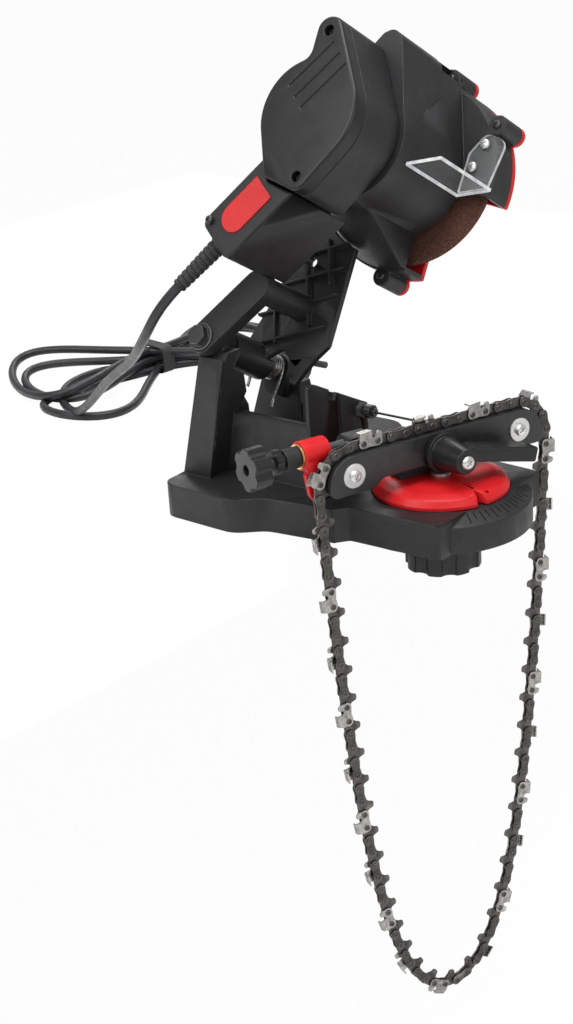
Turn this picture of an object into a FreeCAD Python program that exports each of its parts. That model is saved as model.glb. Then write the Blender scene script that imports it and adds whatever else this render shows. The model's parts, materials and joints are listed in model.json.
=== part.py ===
"""Electric saw chain sharpener with a swivelling chain vise, a tilted grinder head and the chain it holds.

Millimetres, +Z up. The origin is the middle of the two bench bolt holes, on the underside of the base.
+X points to the turntable end, which overhangs the bench edge. The head, its hinge and its wheel are tilted
by head_tilt about X, and the vise is stored turned by vise_turn about the turntable's upright axis.
"""
import FreeCAD, Part
import math
import os
import re
import Sketcher
from FreeCAD import Placement, Rotation, Vector

SIZES = {
    # base
    "base_height": 21.0, "base_rear": 149.0, "base_half": 81.0, "waist_half": 62.0, "front_half": 51.0,
    "front_reach": 35.0, "wall": 4.0, "ring_radius": 53.0, "ring_height": 16.0, "scale_inner": 42.5,
    "scale_height": 20.5, "bench_hole_radius": 4.25, "bench_hole_y": 46.0, "turntable_x": 48.0,
    "pivot_radius": 4.0, "running_gap": 0.05,
    # hinge and column
    "head_tilt": 30.0, "hinge_x": 126.0, "hinge_v": 65.0, "hinge_radius": 3.0, "boss_radius": 9.5,
    "sill_top": 61.0, "end_wall_top": 84.5, "end_wall_x": 60.0, "post_top": 60.8, "cable_z": 58.7,
    # turntable and vise
    "vise_turn": 18.0, "disc_radius": 40.0, "disc_floor": 20.8, "disc_top": 29.0, "plate_thick": 4.2,
    "slot_half": 0.8, "rail_top": 56.8, "rail_foot": 33.6, "rail_left": 78.9, "rail_right": 72.0,
    "rail_screw_y": 58.6, "rail_screw_z": 45.0, "rail_middle": -4.5,
    # chain: three eighths low profile
    "pin_step": 9.525, "pin_z": 60.4, "drive_thick": 1.3, "side_thick": 1.1,
    "pin_radius": 1.9,
    # grinder head, measured from the spindle
    "spindle_x": 59.3, "spindle_v": 191.35, "wheel_radius": 52.4, "wheel_thick": 3.2, "wheel_s": 31.6,
    "motor_radius": 32.3, "cap_face": 147.6, "cap_thick": 10.0, "split_s": 104.0, "guard_radius": 58.3,
    "guard_face": 39.2, "boss_face": 41.2, "guard_back": 22.0, "cover_thick": 3.4, "motor_nose": 36.0,
    "handle_end": 88.7, "handle_face": 142.6, "handle_back": 89.6, "handle_low": 28.4, "handle_high": 3.8,
    "handle_angle": 231.7, "rocker_pin": 1.2, "relief_length": 36.0, "rib_half": 0.7,
    # mains cord
    "cord_radius": 3.0, "hank_thick": 19.0,
}

doc = FreeCAD.newDocument("ChainSharpener")
sheet = doc.addObject("Spreadsheet::Sheet", "Sizes")
for row, (name, number) in enumerate(SIZES.items(), 1):
    sheet.set("A%d" % row, name)
    sheet.set("B%d" % row, str(number))
    sheet.setAlias("B%d" % row, name)
doc.recompute()

NODES = []


# ---------------------------------------------------------------- helpers
def ref(text):
    """Name the sheet in front of every alias of an expression."""
    return re.sub(r"[a-z_]{4,}", lambda m: "Sizes." + m.group() if m.group() in SIZES else m.group(), text)


def size(value):
    """Number for a plain value or for an expression of sheet aliases."""
    if isinstance(value, str):
        return float(sheet.evalExpression(ref(value)))
    return float(value)


def bind(thing, prop, value):
    """Set a property, tied to the sheet where the value is an expression."""
    if isinstance(value, str):
        thing.setExpression(prop, ref(value))
    else:
        thing.setExpression(prop, None)
        setattr(thing, prop, value)


def placed(x=0.0, y=0.0, z=0.0, axis=(0, 0, 1), angle=0.0):
    return Placement(Vector(size(x), size(y), size(z)), Rotation(Vector(*axis), size(angle)))


TURNTABLE = placed("turntable_x")
VISE = TURNTABLE * placed(axis=(0, 0, 1), angle="-vise_turn")
HEAD = TURNTABLE * placed(axis=(1, 0, 0), angle="90 - head_tilt")
HINGE = HEAD * placed("-hinge_x", "hinge_v")
SPINDLE = HEAD * placed("-spindle_x", "spindle_v")
HANDLE = SPINDLE * placed(angle="handle_angle")


def start(label, place):
    """New body with the label that names its file."""
    body = doc.addObject("PartDesign::Body", label)
    body.Label = label
    body.Placement = place
    NODES.append(body)
    return body


def draw(body, role="XY_Plane", lift=0.0):
    """Sketch on one of the body's own planes, lifted along that plane's normal."""
    sketch = body.newObject("Sketcher::SketchObject", body.Name + "_sketch")
    origin_plane = [f for f in body.Origin.OriginFeatures if f.Role == role][0]
    sketch.AttachmentSupport = [(origin_plane, "")]
    sketch.MapMode = "FlatFace"
    if isinstance(lift, Placement):
        sketch.AttachmentOffset = lift
    else:
        sketch.AttachmentOffset = Placement(Vector(0, 0, size(lift)), Rotation())
        if isinstance(lift, str):
            sketch.setExpression("AttachmentOffset.Base.z", ref(lift))
    return sketch


def fix(sketch, kind, element, point, value):
    """Place one coordinate of a point, tied to the sheet where it is an expression."""
    index = sketch.addConstraint(Sketcher.Constraint(kind, element, point, size(value)))
    if isinstance(value, str):
        sketch.setExpression("Constraints[%d]" % index, ref(value))


def circle(sketch, x, y, radius):
    ring = Part.Circle(Vector(size(x), size(y), 0), Vector(0, 0, 1), size(radius))
    element = sketch.addGeometry(ring, False)
    index = sketch.addConstraint(Sketcher.Constraint("Radius", element, size(radius)))
    if isinstance(radius, str):
        sketch.setExpression("Constraints[%d]" % index, ref(radius))
    fix(sketch, "DistanceX", element, 3, x)
    fix(sketch, "DistanceY", element, 3, y)


def outline(sketch, corners):
    """Closed outline through (x, y) corners; a third number rounds that corner."""
    count = len(corners)
    spots = [Vector(size(c[0]), size(c[1]), 0) for c in corners]
    lines = []
    for i in range(count):
        lines.append(sketch.addGeometry(Part.LineSegment(spots[i], spots[(i + 1) % count]), False))
    for i in range(count):
        sketch.addConstraint(Sketcher.Constraint("Coincident", lines[i], 2, lines[(i + 1) % count], 1))
    for i in range(count):
        fix(sketch, "DistanceX", lines[i], 1, corners[i][0])
        fix(sketch, "DistanceY", lines[i], 1, corners[i][1])
    for i in range(count):
        if len(corners[i]) > 2:
            before = spots[i] + (spots[i - 1] - spots[i]) * 0.2
            after = spots[i] + (spots[(i + 1) % count] - spots[i]) * 0.2
            sketch.fillet(lines[i - 1], lines[i], before, after, size(corners[i][2]), True, True)


def add_feature(body, kind, sketch):
    feature = body.newObject("PartDesign::" + kind, body.Name + "_" + kind.lower())
    feature.Profile = sketch
    sketch.Visibility = False
    return feature


def pad(body, sketch, length, back=False):
    feature = add_feature(body, "Pad", sketch)
    bind(feature, "Length", length)
    feature.Reversed = back
    return feature


def cut(body, sketch, length, back=False):
    """Pocket of a given depth; back turns it along the sketch's normal."""
    feature = add_feature(body, "Pocket", sketch)
    bind(feature, "Length", length)
    feature.Reversed = back
    return feature


def spin(body, sketch, kind="Revolution", axis="V_Axis", angle=360.0):
    feature = add_feature(body, kind, sketch)
    feature.ReferenceAxis = (sketch, [axis])
    feature.Angle = angle
    return feature


def loft(body, lower, upper):
    feature = add_feature(body, "AdditiveLoft", lower)
    feature.Sections = [upper]
    feature.Ruled = True
    return feature


def repeat(body, feature, count, axis="Z_Axis"):
    """Polar pattern of one feature about an axis of the body."""
    pattern = body.newObject("PartDesign::PolarPattern", body.Name + "_pattern")
    pattern.Originals = [feature]
    pattern.Axis = ([f for f in body.Origin.OriginFeatures if f.Role == axis][0], [""])
    pattern.Angle = 360.0
    pattern.Occurrences = count
    body.Tip = pattern
    return pattern


def soften(body, radius, wanted, kind="Fillet"):
    """Round or chamfer the edges whose middle point passes the test, in the body's own frame."""
    doc.recompute()
    base = body.Tip
    names = []
    for number, edge in enumerate(base.Shape.Edges, 1):
        middle = edge.valueAt((edge.FirstParameter + edge.LastParameter) / 2.0)
        if wanted(middle, edge):
            names.append("Edge%d" % number)
    feature = body.newObject("PartDesign::" + kind, body.Name + "_" + kind.lower())
    feature.Base = (base, names)
    bind(feature, "Radius" if kind == "Fillet" else "Size", radius)
    return feature


def disc(label, place, radius, length, bore=None, lift=0.0, role="XY_Plane"):
    """Plain round piece, with a bore through it where one is given."""
    body = start(label, place)
    sketch = draw(body, role, lift)
    circle(sketch, 0, 0, radius)
    if bore is not None:
        circle(sketch, 0, 0, bore)
    pad(body, sketch, length)
    return body


def group(label, shapes, place):
    """One node of several like solids."""
    feature = doc.addObject("Part::Feature", label)
    feature.Label = label
    feature.Shape = Part.makeCompound(shapes)
    feature.Placement = place
    NODES.append(feature)
    return feature


def at(shape, place):
    """Copy of a shape moved to a place."""
    moved = shape.copy()
    moved.Placement = place.multiply(moved.Placement)
    return moved


# ---------------------------------------------------------------- base
def base_outline(inset):
    """Corners of the base plan, mirrored about X, drawn in by an inset."""
    near = [
        ("-base_rear + %g" % inset, "base_half - %g" % inset, 10),
        (-92 + inset, "base_half + 1 - %g" % inset, 18),
        (-77 + inset, "waist_half + 6.5 - %g" % inset, 18), (-32 - inset, "waist_half - %g" % inset, 2.5),
        (-26 - inset, "front_half + 3 - %g" % inset, 2.5),
        ("front_reach - %g" % inset, "front_half - %g" % inset, 1.5),
        ("front_reach - %g" % inset, "32 - %g" % inset),
    ]
    if inset > 0:
        near = near[:1] + near[1:6]
    far = [(x, y) + tuple(rest) for x, y, *rest in near]
    low = [(x, "-(%s)" % y) + tuple(rest) for x, y, *rest in near]
    return far + low[::-1]


def head_plane(x, v, s):
    """Placement of a sketch square to the tilted hinge line, in a body that stands upright."""
    tilt = placed(axis=(1, 0, 0), angle="90 - head_tilt")
    return tilt * placed(x, v, s)


def base_housing():
    body = start("base_housing", TURNTABLE)
    plan = draw(body)
    outline(plan, base_outline(0))
    pad(body, plan, "base_height")
    ring = draw(body, "XZ_Plane")
    outline(ring, [
        (0, 0), ("ring_radius", 0), ("ring_radius", "ring_height"), ("scale_inner", "scale_height"),
        (0, "scale_height"),
    ])
    spin(body, ring)
    seat = draw(body, "XY_Plane", "scale_height")
    circle(seat, 0, 0, "disc_radius + 0.6")
    cut(body, seat, 3, back=True)
    # rounded sill between the pillars, the end wall that falls away from it, and the cable post on that wall
    sill = draw(body, "YZ_Plane", -130)
    outline(sill, [(-44, "base_height - 1"), (-40, "base_height - 1"), (-40, "sill_top", 1),
                   (-44, "sill_top", 2.5)])
    pad(body, sill, "130 - end_wall_x")
    end_wall = draw(body, "YZ_Plane", "-end_wall_x - 2.5")
    outline(end_wall, [(-44, "base_height - 1"), (8, "base_height - 1"), (8, "post_top"),
                       (-38, "end_wall_top", 6), (-44, "end_wall_top", 2)])
    pad(body, end_wall, 2.5)
    post = draw(body, "YZ_Plane", "-end_wall_x - 12")
    outline(post, [(-17, "base_height - 1"), (8, "base_height - 1"), (8, "post_top"),
                   (-17, "post_top + 12.6")])
    pad(body, post, 14)
    pillar(body, ((-149, -127), (-61, -17)), ((-129.2, -110.9), (-59, -43)), 100)
    pillar(body, ((-149, -99), (-4, 18)), ((-137.7, -107.5), (4, 14.5)), 66)
    hinge_lug(body, 85.2, 11.3)
    hinge_lug(body, 22.5, 10.5)
    # room for the arm outside the near lug, for the hub inside it and for the web swinging down
    notch = draw(body, "XY_Plane", head_plane("-hinge_x", "hinge_v", 96.7))
    outline(notch, [(-10.5, 60), (60, 60), (60, -10.5), (-10.5, -10.5, 10.4)])
    cut(body, notch, 30, back=True)
    hub_room = draw(body, "XY_Plane", head_plane("-hinge_x", "hinge_v", 33.2))
    outline(hub_room, [(-11.6, 60), (50, 60), (50, -11.6), (-11.6, -11.6, 11.5)])
    cut(body, hub_room, 52, back=True)
    web_room = draw(body, "XY_Plane", head_plane("-hinge_x", "hinge_v", 52))
    outline(web_room, [(0, 20), (0, -11.6), (12, -38), (60, -38), (60, 20)])
    cut(body, web_room, 12, back=True)
    web_slot = draw(body, "XY_Plane", head_plane("-hinge_x", "hinge_v", 52.5))
    outline(web_slot, [(60, -14.8), (75, -14.8), (75, 20), (60, 20)])
    cut(body, web_slot, 7.5, back=True)
    nut_room = draw(body, "XY_Plane", head_plane("-hinge_x", "hinge_v", 28.2))
    circle(nut_room, 0, 0, 6.6)
    cut(body, nut_room, 14)
    bolt_way = draw(body, "XY_Plane", head_plane("-hinge_x", "hinge_v", 20))
    circle(bolt_way, 0, 0, "hinge_radius + running_gap")
    cut(body, bolt_way, 80, back=True)
    # hollow underside with bosses for the bench bolts and the turntable
    hollow = draw(body)
    outline(hollow, [("-base_rear + wall", "base_half - 5"), (-95, "base_half - 5"), (-82, 60), (-36, 57),
                     (-24, 46), (31, 46), (31, -46), (-24, -46), (-36, -57), (-82, -60),
                     (-95, "-base_half + 5"), ("-base_rear + wall", "-base_half + 5")])
    circle(hollow, 0, 0, 15)
    for side in (1, -1):
        circle(hollow, "-turntable_x", side * size("bench_hole_y"), 9)
    cut(body, hollow, "base_height - wall", back=True)
    holes = draw(body)
    circle(holes, 0, 0, "pivot_radius + running_gap")
    for side in (1, -1):
        circle(holes, "-turntable_x", side * size("bench_hole_y"), "bench_hole_radius")
    cut(body, holes, 40, back=True)
    barrel_way = draw(body, "YZ_Plane", -95)
    circle(barrel_way, 0, "cable_z", 2.6)
    cut(body, barrel_way, 50, back=True)
    return body


def pillar(body, foot, top, top_z):
    """Tapered pillar between two upright rectangles of (x range, y range)."""
    lower = draw(body, "XY_Plane", "base_height - 2")
    outline(lower, [(foot[0][0], foot[1][0]), (foot[0][1], foot[1][0]), (foot[0][1], foot[1][1]),
                    (foot[0][0], foot[1][1])])
    upper = draw(body, "XY_Plane", top_z)
    outline(upper, [(top[0][0], top[1][0]), (top[0][1], top[1][0]), (top[0][1], top[1][1]),
                    (top[0][0], top[1][1])])
    loft(body, lower, upper)


def hinge_lug(body, s_low, length):
    """Rounded lug round the hinge bolt, running down into its pillar."""
    lug = draw(body, "XY_Plane", head_plane("-hinge_x", "hinge_v", s_low))
    outline(lug, [(-4, -16), ("boss_radius", -16), ("boss_radius", 9.4, 9.2), ("-boss_radius", 9.4, 9.2),
                  ("-boss_radius", -3)])
    pad(body, lug, length)


def knob(label, place, radius, length, lobes, dent, bore, lift):
    """Round knob with dents for the fingers."""
    body = disc(label, place, radius, length, bore, lift)
    dents = draw(body, "XY_Plane", lift)
    circle(dents, size(radius) + dent * 0.55, 0, dent)
    first = cut(body, dents, size(length) + 1, back=True)
    repeat(body, first, lobes)
    return body


def hexagon(label, place, radius, length, bore, lift):
    body = start(label, place)
    sketch = draw(body, "XY_Plane", lift)
    corners = [(radius * math.cos(math.radians(60 * i)), radius * math.sin(math.radians(60 * i)))
               for i in range(6)]
    outline(sketch, corners)
    if bore:
        circle(sketch, 0, 0, bore)
    pad(body, sketch, length)
    return body


def fixings():
    """Hinge bolt with its nut, the clamp cable with its adjuster, and the angle lock."""
    bolt = hexagon("hinge_bolt", HINGE, 6.4, 4.4, None, 107.4)
    washer = draw(bolt, "XY_Plane", 106.3)
    circle(washer, 0, 0, 8.2)
    pad(bolt, washer, 1.2)
    shank = draw(bolt, "XY_Plane", 22.8)
    circle(shank, 0, 0, "hinge_radius")
    pad(bolt, shank, 85.2)
    hexagon("hinge_nut", HINGE, 5.8, 4.6, "hinge_radius + 0.02", 23.4)
    across = TURNTABLE * placed("-58", 0, "cable_z", (0, 1, 0), 90)
    adjuster = disc("cable_adjuster", across, 2.5, 28, 0.9, -16)
    grip = draw(adjuster, "XY_Plane", 5.5)
    circle(grip, 0, 0, 4.2)
    circle(grip, 0, 0, 0.9)
    pad(adjuster, grip, 4.5)
    hexagon("cable_lock_nut", across, 4.8, 3, 2.52, 0.1)
    cable = disc("clamp_cable", across, 0.7, 70, None, -20)
    nipple = draw(cable, "XY_Plane", 46.5)
    circle(nipple, 0, 0, 2)
    pad(cable, nipple, 4)
    lock = knob("angle_lock_knob", TURNTABLE, 22.5, 18, 8, 6, "pivot_radius + running_gap", -27)
    neck = draw(lock, "XY_Plane", -9)
    circle(neck, 0, 0, 11)
    circle(neck, 0, 0, "pivot_radius + running_gap")
    pad(lock, neck, 8.8)


def return_spring():
    """Torsion spring round the hinge, one leg down to the base and one out to the web."""
    radius = 7.2
    wire = 1.0
    turns = 4.5
    rise = 2.4
    spots = [Vector(radius, -24, 0), Vector(radius, -12, 0)]
    steps = 12
    for i in range(int(turns * steps) + 1):
        a = 2.0 * math.pi * i / steps
        spots.append(Vector(radius * math.cos(a), radius * math.sin(a), rise * i / steps))
    spots.extend([Vector(-radius, -8, rise * turns), Vector(-radius, -16, rise * turns)])
    path = Part.BSplineCurve()
    path.interpolate(spots)
    ring = Part.Wire(Part.makeCircle(wire, spots[0], spots[1] - spots[0]))
    coil = Part.Wire(path.toShape()).makePipeShell([ring], True, True)
    group("return_spring", [coil], HINGE * placed(z=34.8))


# ---------------------------------------------------------------- turntable and vise
def turntable():
    body = start("turntable_disc", VISE)
    half = draw(body, "XZ_Plane")
    outline(half, [("pivot_radius + running_gap", "disc_floor"), ("disc_radius", "disc_floor"),
                   ("disc_radius", "disc_floor + 2.2"), (37.5, 26.8), (31, "disc_top"),
                   ("pivot_radius + running_gap", "disc_top")])
    spin(body, half)
    notch = draw(body, "XY_Plane", 19)
    outline(notch, [(42, -4.2), (42, 4.2), (31.5, 0)])
    cut(body, notch, 12, back=True)
    bolt = disc("pivot_bolt", VISE, "pivot_radius", 57, None, -27.5)
    head = draw(bolt, "XY_Plane", "disc_top + 0.1")
    circle(head, 0, 0, 5.8)
    pad(bolt, head, 1.6)
    slot = draw(bolt, "XY_Plane", "disc_top + 2")
    outline(slot, [(-6, -0.6), (6, -0.6), (6, 0.6), (-6, 0.6)])
    cut(bolt, slot, 1.1)
    block = start("vise_block", VISE)
    foot = draw(block, "XY_Plane", "disc_top")
    outline(foot, [(-19, -24, 2), (-6.4, -24), (-6.4, 24), (-19, 24, 2)])
    pad(block, foot, 3)
    upright = draw(block, "XY_Plane", "disc_top + 3")
    outline(upright, [(-17, -22, 2), ("-slot_half - plate_thick", -22), ("-slot_half - plate_thick", 22),
                      (-17, 22, 2)])
    pad(block, upright, 18)
    bore = draw(block, "YZ_Plane", -20)
    circle(bore, -3, 45, 3.1)
    cut(block, bore, 16, back=True)


def rail_sketch(body, lift):
    plate = draw(body, "YZ_Plane", lift)
    outline(plate, [("-rail_left", "rail_foot", 5.5), (-50, "rail_foot", 3), (-43, "rail_foot + 5", 3),
                    (37, "rail_foot + 5", 3), (44, "rail_foot", 3), ("rail_right", "rail_foot", 5.5),
                    ("rail_right", "rail_top", 17), ("-rail_left", "rail_top", 17)])
    circle(plate, "rail_middle - rail_screw_y", "rail_screw_z", 2.05)
    circle(plate, "rail_middle + rail_screw_y", "rail_screw_z", 2.05)
    circle(plate, -3, 45, 3.1)
    return plate


def rails():
    front = start("rail_front_plate", VISE)
    pad(front, rail_sketch(front, "slot_half"), "plate_thick")
    rear = start("rail_rear_plate", VISE)
    pad(rear, rail_sketch(rear, "-slot_half - plate_thick"), "plate_thick")
    spacer = start("rail_spacer", VISE)
    strip = draw(spacer, "YZ_Plane", "-slot_half")
    outline(strip, [(-70, 35), (-50, 35), (-43, 40), (37, 40), (44, 35), (63, 35), (63, 43), (59, 49),
                    (-66, 49), (-70, 43)])
    circle(strip, "rail_middle - rail_screw_y", "rail_screw_z", 2.05)
    circle(strip, "rail_middle + rail_screw_y", "rail_screw_z", 2.05)
    circle(strip, -3, 45, 3.1)
    pad(spacer, strip, "slot_half * 2")
    screws = start("rail_screws", VISE)
    for middle in ("rail_middle - rail_screw_y", "rail_middle + rail_screw_y"):
        washer = draw(screws, "YZ_Plane", "slot_half + plate_thick + 0.05")
        circle(washer, middle, "rail_screw_z", 7.2)
        pad(screws, washer, 1)
        head = draw(screws, "YZ_Plane", "slot_half + plate_thick + 1")
        circle(head, middle, "rail_screw_z", 3.6)
        pad(screws, head, 2)
        shank = draw(screws, "YZ_Plane", -9)
        circle(shank, middle, "rail_screw_z", 2)
        pad(screws, shank, "slot_half + plate_thick + 9.5")
    screws.AllowCompound = True


def lever():
    body = start("clamp_lever", VISE)
    flare = draw(body, "YZ_Plane", "slot_half + plate_thick + 0.3")
    circle(flare, -3, 45, 12)
    pad(body, flare, 4)
    hub = draw(body, "YZ_Plane", "slot_half + plate_thick + 4")
    circle(hub, -3, 45, 10.2)
    pad(body, hub, 21).TaperAngle = -8
    handle = draw(body, "YZ_Plane", 14)
    outline(handle, [(-3, 42), (8, 41.6), (49.6, 31.5, 1.5), (51.8, 40.3, 1.5), (8, 50.8), (-3, 50.8)])
    pad(body, handle, 12)
    bore = draw(body, "YZ_Plane", 4)
    circle(bore, -3, 45, 3.05)
    cut(body, bore, 40, back=True)
    screw = start("lever_screw", VISE)
    shank = draw(screw, "YZ_Plane", -14)
    circle(shank, -3, 45, 3)
    pad(screw, shank, 45)
    head = draw(screw, "YZ_Plane", 30.2)
    circle(head, -3, 45, 4)
    pad(screw, head, 2.2)


STOP = VISE * placed(-14, 0, 57, (1, 0, 0), -90)


def chain_stop():
    """Stop for the chain with its screw; local z runs along the rail."""
    bracket = start("stop_bracket", VISE)
    block = draw(bracket, "YZ_Plane", -20)
    outline(block, [(-58, 47, 2), (-38, 47, 2), (-38, 61.4, 4), (-58, 61.4, 4)])
    pad(bracket, block, 12)
    foot = draw(bracket, "YZ_Plane", -9)
    outline(foot, [(-58, 42), (-38, 42), (-38, 55), (-58, 55)])
    pad(bracket, foot, "9 - slot_half - plate_thick")
    way = draw(bracket, "XZ_Plane", 30)
    circle(way, -14, 57, 3.05)
    cut(bracket, way, 50, back=True)
    disc("stop_rod", STOP, 3, 78, None, -118)
    knob("stop_knob", STOP, 12.5, 11, 6, 4.5, 3.02, -121.5)
    knob("stop_lock_nut", STOP, 7.5, 5, 6, 2.5, 3.05, -104.5)
    disc("stop_sleeve", STOP, 6.2, 9.6, 3.06, -98)
    disc("stop_washer", STOP, 7.2, 1.2, 3.06, -88.3)
    body = start("chain_stop", STOP)
    roll = draw(body, "XY_Plane", -87)
    circle(roll, 0, 0, 8.5)
    circle(roll, 0, 0, 3.08)
    pad(body, roll, 17)
    finger = draw(body, "YZ_Plane", 4.5)
    outline(finger, [(1, -86.6), (7.8, -86.6), (9.5, -88.0), (22, -85.8), (26.5, -82.6, 1.5),
                     (25.8, -79.7, 1), (12, -79.7), (1, -79.7)])
    pad(body, finger, 3.8)


# ---------------------------------------------------------------- chain
def strand(depth, reach):
    """Steepness and scale of the hanging curve with a given length between the two strands."""
    low = 0.5
    high = 8.0
    for _ in range(60):
        middle = (low + high) / 2.0
        if math.sinh(middle) / middle > depth / reach:
            high = middle
        else:
            low = middle
    return low, reach / 2.0 / low


def chain_path():
    """Function giving the (along, up) point of the closed chain at a distance from its first rail rivet."""
    rivets = 100
    step = size("pin_step")
    corner = 22.2
    left = -62.0
    right = 55.4
    top = size("pin_z")
    quarter = corner * math.pi / 2.0
    flat = right - left
    width = flat + 2.0 * corner
    hang = rivets * step - flat - 2.0 * quarter
    steep, scale = strand(hang, width)
    middle = (left + right) / 2.0
    low = top - corner - scale * (math.cosh(steep) - 1.0)

    def point(distance):
        d = distance % (rivets * step)
        if d < flat:
            return left + d, top
        d -= flat
        if d < quarter:
            a = math.pi / 2.0 - d / corner
            return right + corner * math.cos(a), top - corner + corner * math.sin(a)
        d -= quarter
        if d < hang:
            x = scale * math.asinh((hang / 2.0 - d) / scale)
            return middle + x, low + scale * (math.cosh(x / scale) - 1.0)
        a = math.pi - (d - hang) / corner
        return left + corner * math.cos(a), top - corner + corner * math.sin(a)

    return point


def plate(corners, thick, lift):
    """Flat link from (along, outward) corners, lifted along its pins."""
    points = [Vector(x, y, lift) for x, y in corners]
    return Part.Face(Part.makePolygon(points + points[:1])).extrude(Vector(0, 0, thick))


def link_place(first, second):
    """Placement of a link between two rivets: x along the chain, y outward, z along the pins."""
    along = Vector(0, second[0] - first[0], second[1] - first[1]).normalize()
    pins = Vector(1, 0, 0)
    outward = pins.cross(along)
    turn = Rotation(along, outward, pins, "XYZ")
    return Placement(Vector(0, (first[0] + second[0]) / 2.0, (first[1] + second[1]) / 2.0), turn)


def chain():
    """Fifty drive links, twenty-five cutters and the straps between them."""
    path = chain_path()
    step = size("pin_step")
    thick = size("side_thick")
    drive_half = size("drive_thick") / 2.0
    side = drive_half + 0.1
    tang = plate([(-7.3, 0.4), (-6.2, 2.7), (-2, 3.3), (6.2, 2.7), (7.3, 0.4), (6.6, -2.6), (3.4, -4.2),
                  (0.6, -8.2), (-2.6, -7.8), (-3.4, -4.2), (-6.6, -2.6)], 2 * drive_half, -drive_half)
    strap = [(-7.6, -1.7), (-6, -3.2), (6, -3.2), (7.6, -1.7), (7.6, 1.7), (6, 3.2), (-6, 3.2), (-7.6, 1.7)]
    cheek = [(-7.6, -1.7), (-6, -3.2), (6, -3.2), (7.6, -1.7), (7.6, 2.4), (6.6, 5.9), (4.4, 5.9), (3.2, 2),
             (1.6, 2), (0.9, 6), (-6.4, 6), (-7.6, 1.7)]
    roof = [(-6.6, 6), (0.9, 6.3), (1.1, 7.2), (-6.4, 6.9)]
    near_cutter = plate(cheek, thick, side).fuse(plate(roof, 4.2, side + thick - 3.2))
    far_cutter = plate(cheek, thick, -side - thick).fuse(plate(roof, 4.2, -side - thick - 1))
    pin = Part.makeCylinder(size("pin_radius"), 4.8, Vector(0, 0, -2.4))
    drives, near, far, straps, pins = [], [], [], [], []
    for k in range(50):
        a = path((2 * k - 0.1) * step)
        b = path((2 * k + 0.9) * step)
        c = path((2 * k + 1.9) * step)
        drives.append(at(tang, link_place(a, b)))
        spot = link_place(b, c)
        pins.append(at(pin, Placement(Vector(0, *a), spot.Rotation)))
        pins.append(at(pin, Placement(Vector(0, *b), spot.Rotation)))
        near_side = at(plate(strap, thick, side), spot)
        far_side = at(plate(strap, thick, -side - thick), spot)
        if k % 4 == 0:
            near.append(at(near_cutter, spot))
            straps.append(far_side)
        elif k % 4 == 2:
            far.append(at(far_cutter, spot))
            straps.append(near_side)
        else:
            straps.extend([near_side, far_side])
    group("drive_links", drives, VISE)
    group("cutters_near", near, VISE)
    group("cutters_far", far, VISE)
    group("tie_straps", straps, VISE)
    group("chain_rivets", pins, VISE)


# ---------------------------------------------------------------- grinder head
def motor_sketch(body, lift, grow=0.0):
    """Motor outline about the spindle: round, with a screw boss above and a flat foot below."""
    sketch = draw(body, "XY_Plane", lift)
    outline(sketch, [
        (-9.2 - grow, 55.4 + grow, 8.2), (4.1 + grow, 55.4 + grow, 8.2), (38.4 + grow, -0.9, "motor_radius"),
        (8.2 + grow, -45.4 - grow, 7.9), (-18.4 - grow, -38.3 - grow, 1.5), (-41.7 - grow, 14.4, 31.5),
        (-9.2 - grow, 31.7, 7),
    ])
    return sketch


def motor():
    cap = start("motor_end_cap", SPINDLE)
    pad(cap, motor_sketch(cap, "cap_face - cap_thick"), "cap_thick")
    soften(cap, 2.0, lambda p, e: abs(p.z - size("cap_face")) < 0.01)
    screws = draw(cap, "XY_Plane", "cap_face")
    circle(screws, -0.7, 46.9, 3)
    circle(screws, 4.8, -36.3, 3)
    cut(cap, screws, 5)
    grooves = draw(cap, "XY_Plane", "cap_face")
    for shift in (-6, 0, 6):
        outline(grooves, [(-12 + shift, 8.4 - shift), (-10.9 + shift, 7.4 - shift),
                          (11.6 + shift, 33.8 - shift), (10.5 + shift, 34.8 - shift)])
    cut(cap, grooves, 1.2)
    screws = disc("cap_screws", SPINDLE * placed(-0.7, 46.9), 2.7, 1.6, None, "cap_face - 4.9")
    lower = draw(screws, "XY_Plane", "cap_face - 4.9")
    circle(lower, 5.5, -83.2, 2.7)
    pad(screws, lower, 1.6)
    screws.AllowCompound = True
    housing = start("motor_housing", SPINDLE)
    pad(housing, motor_sketch(housing, "split_s + 0.3"), "cap_face - cap_thick - split_s - 0.5")


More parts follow.
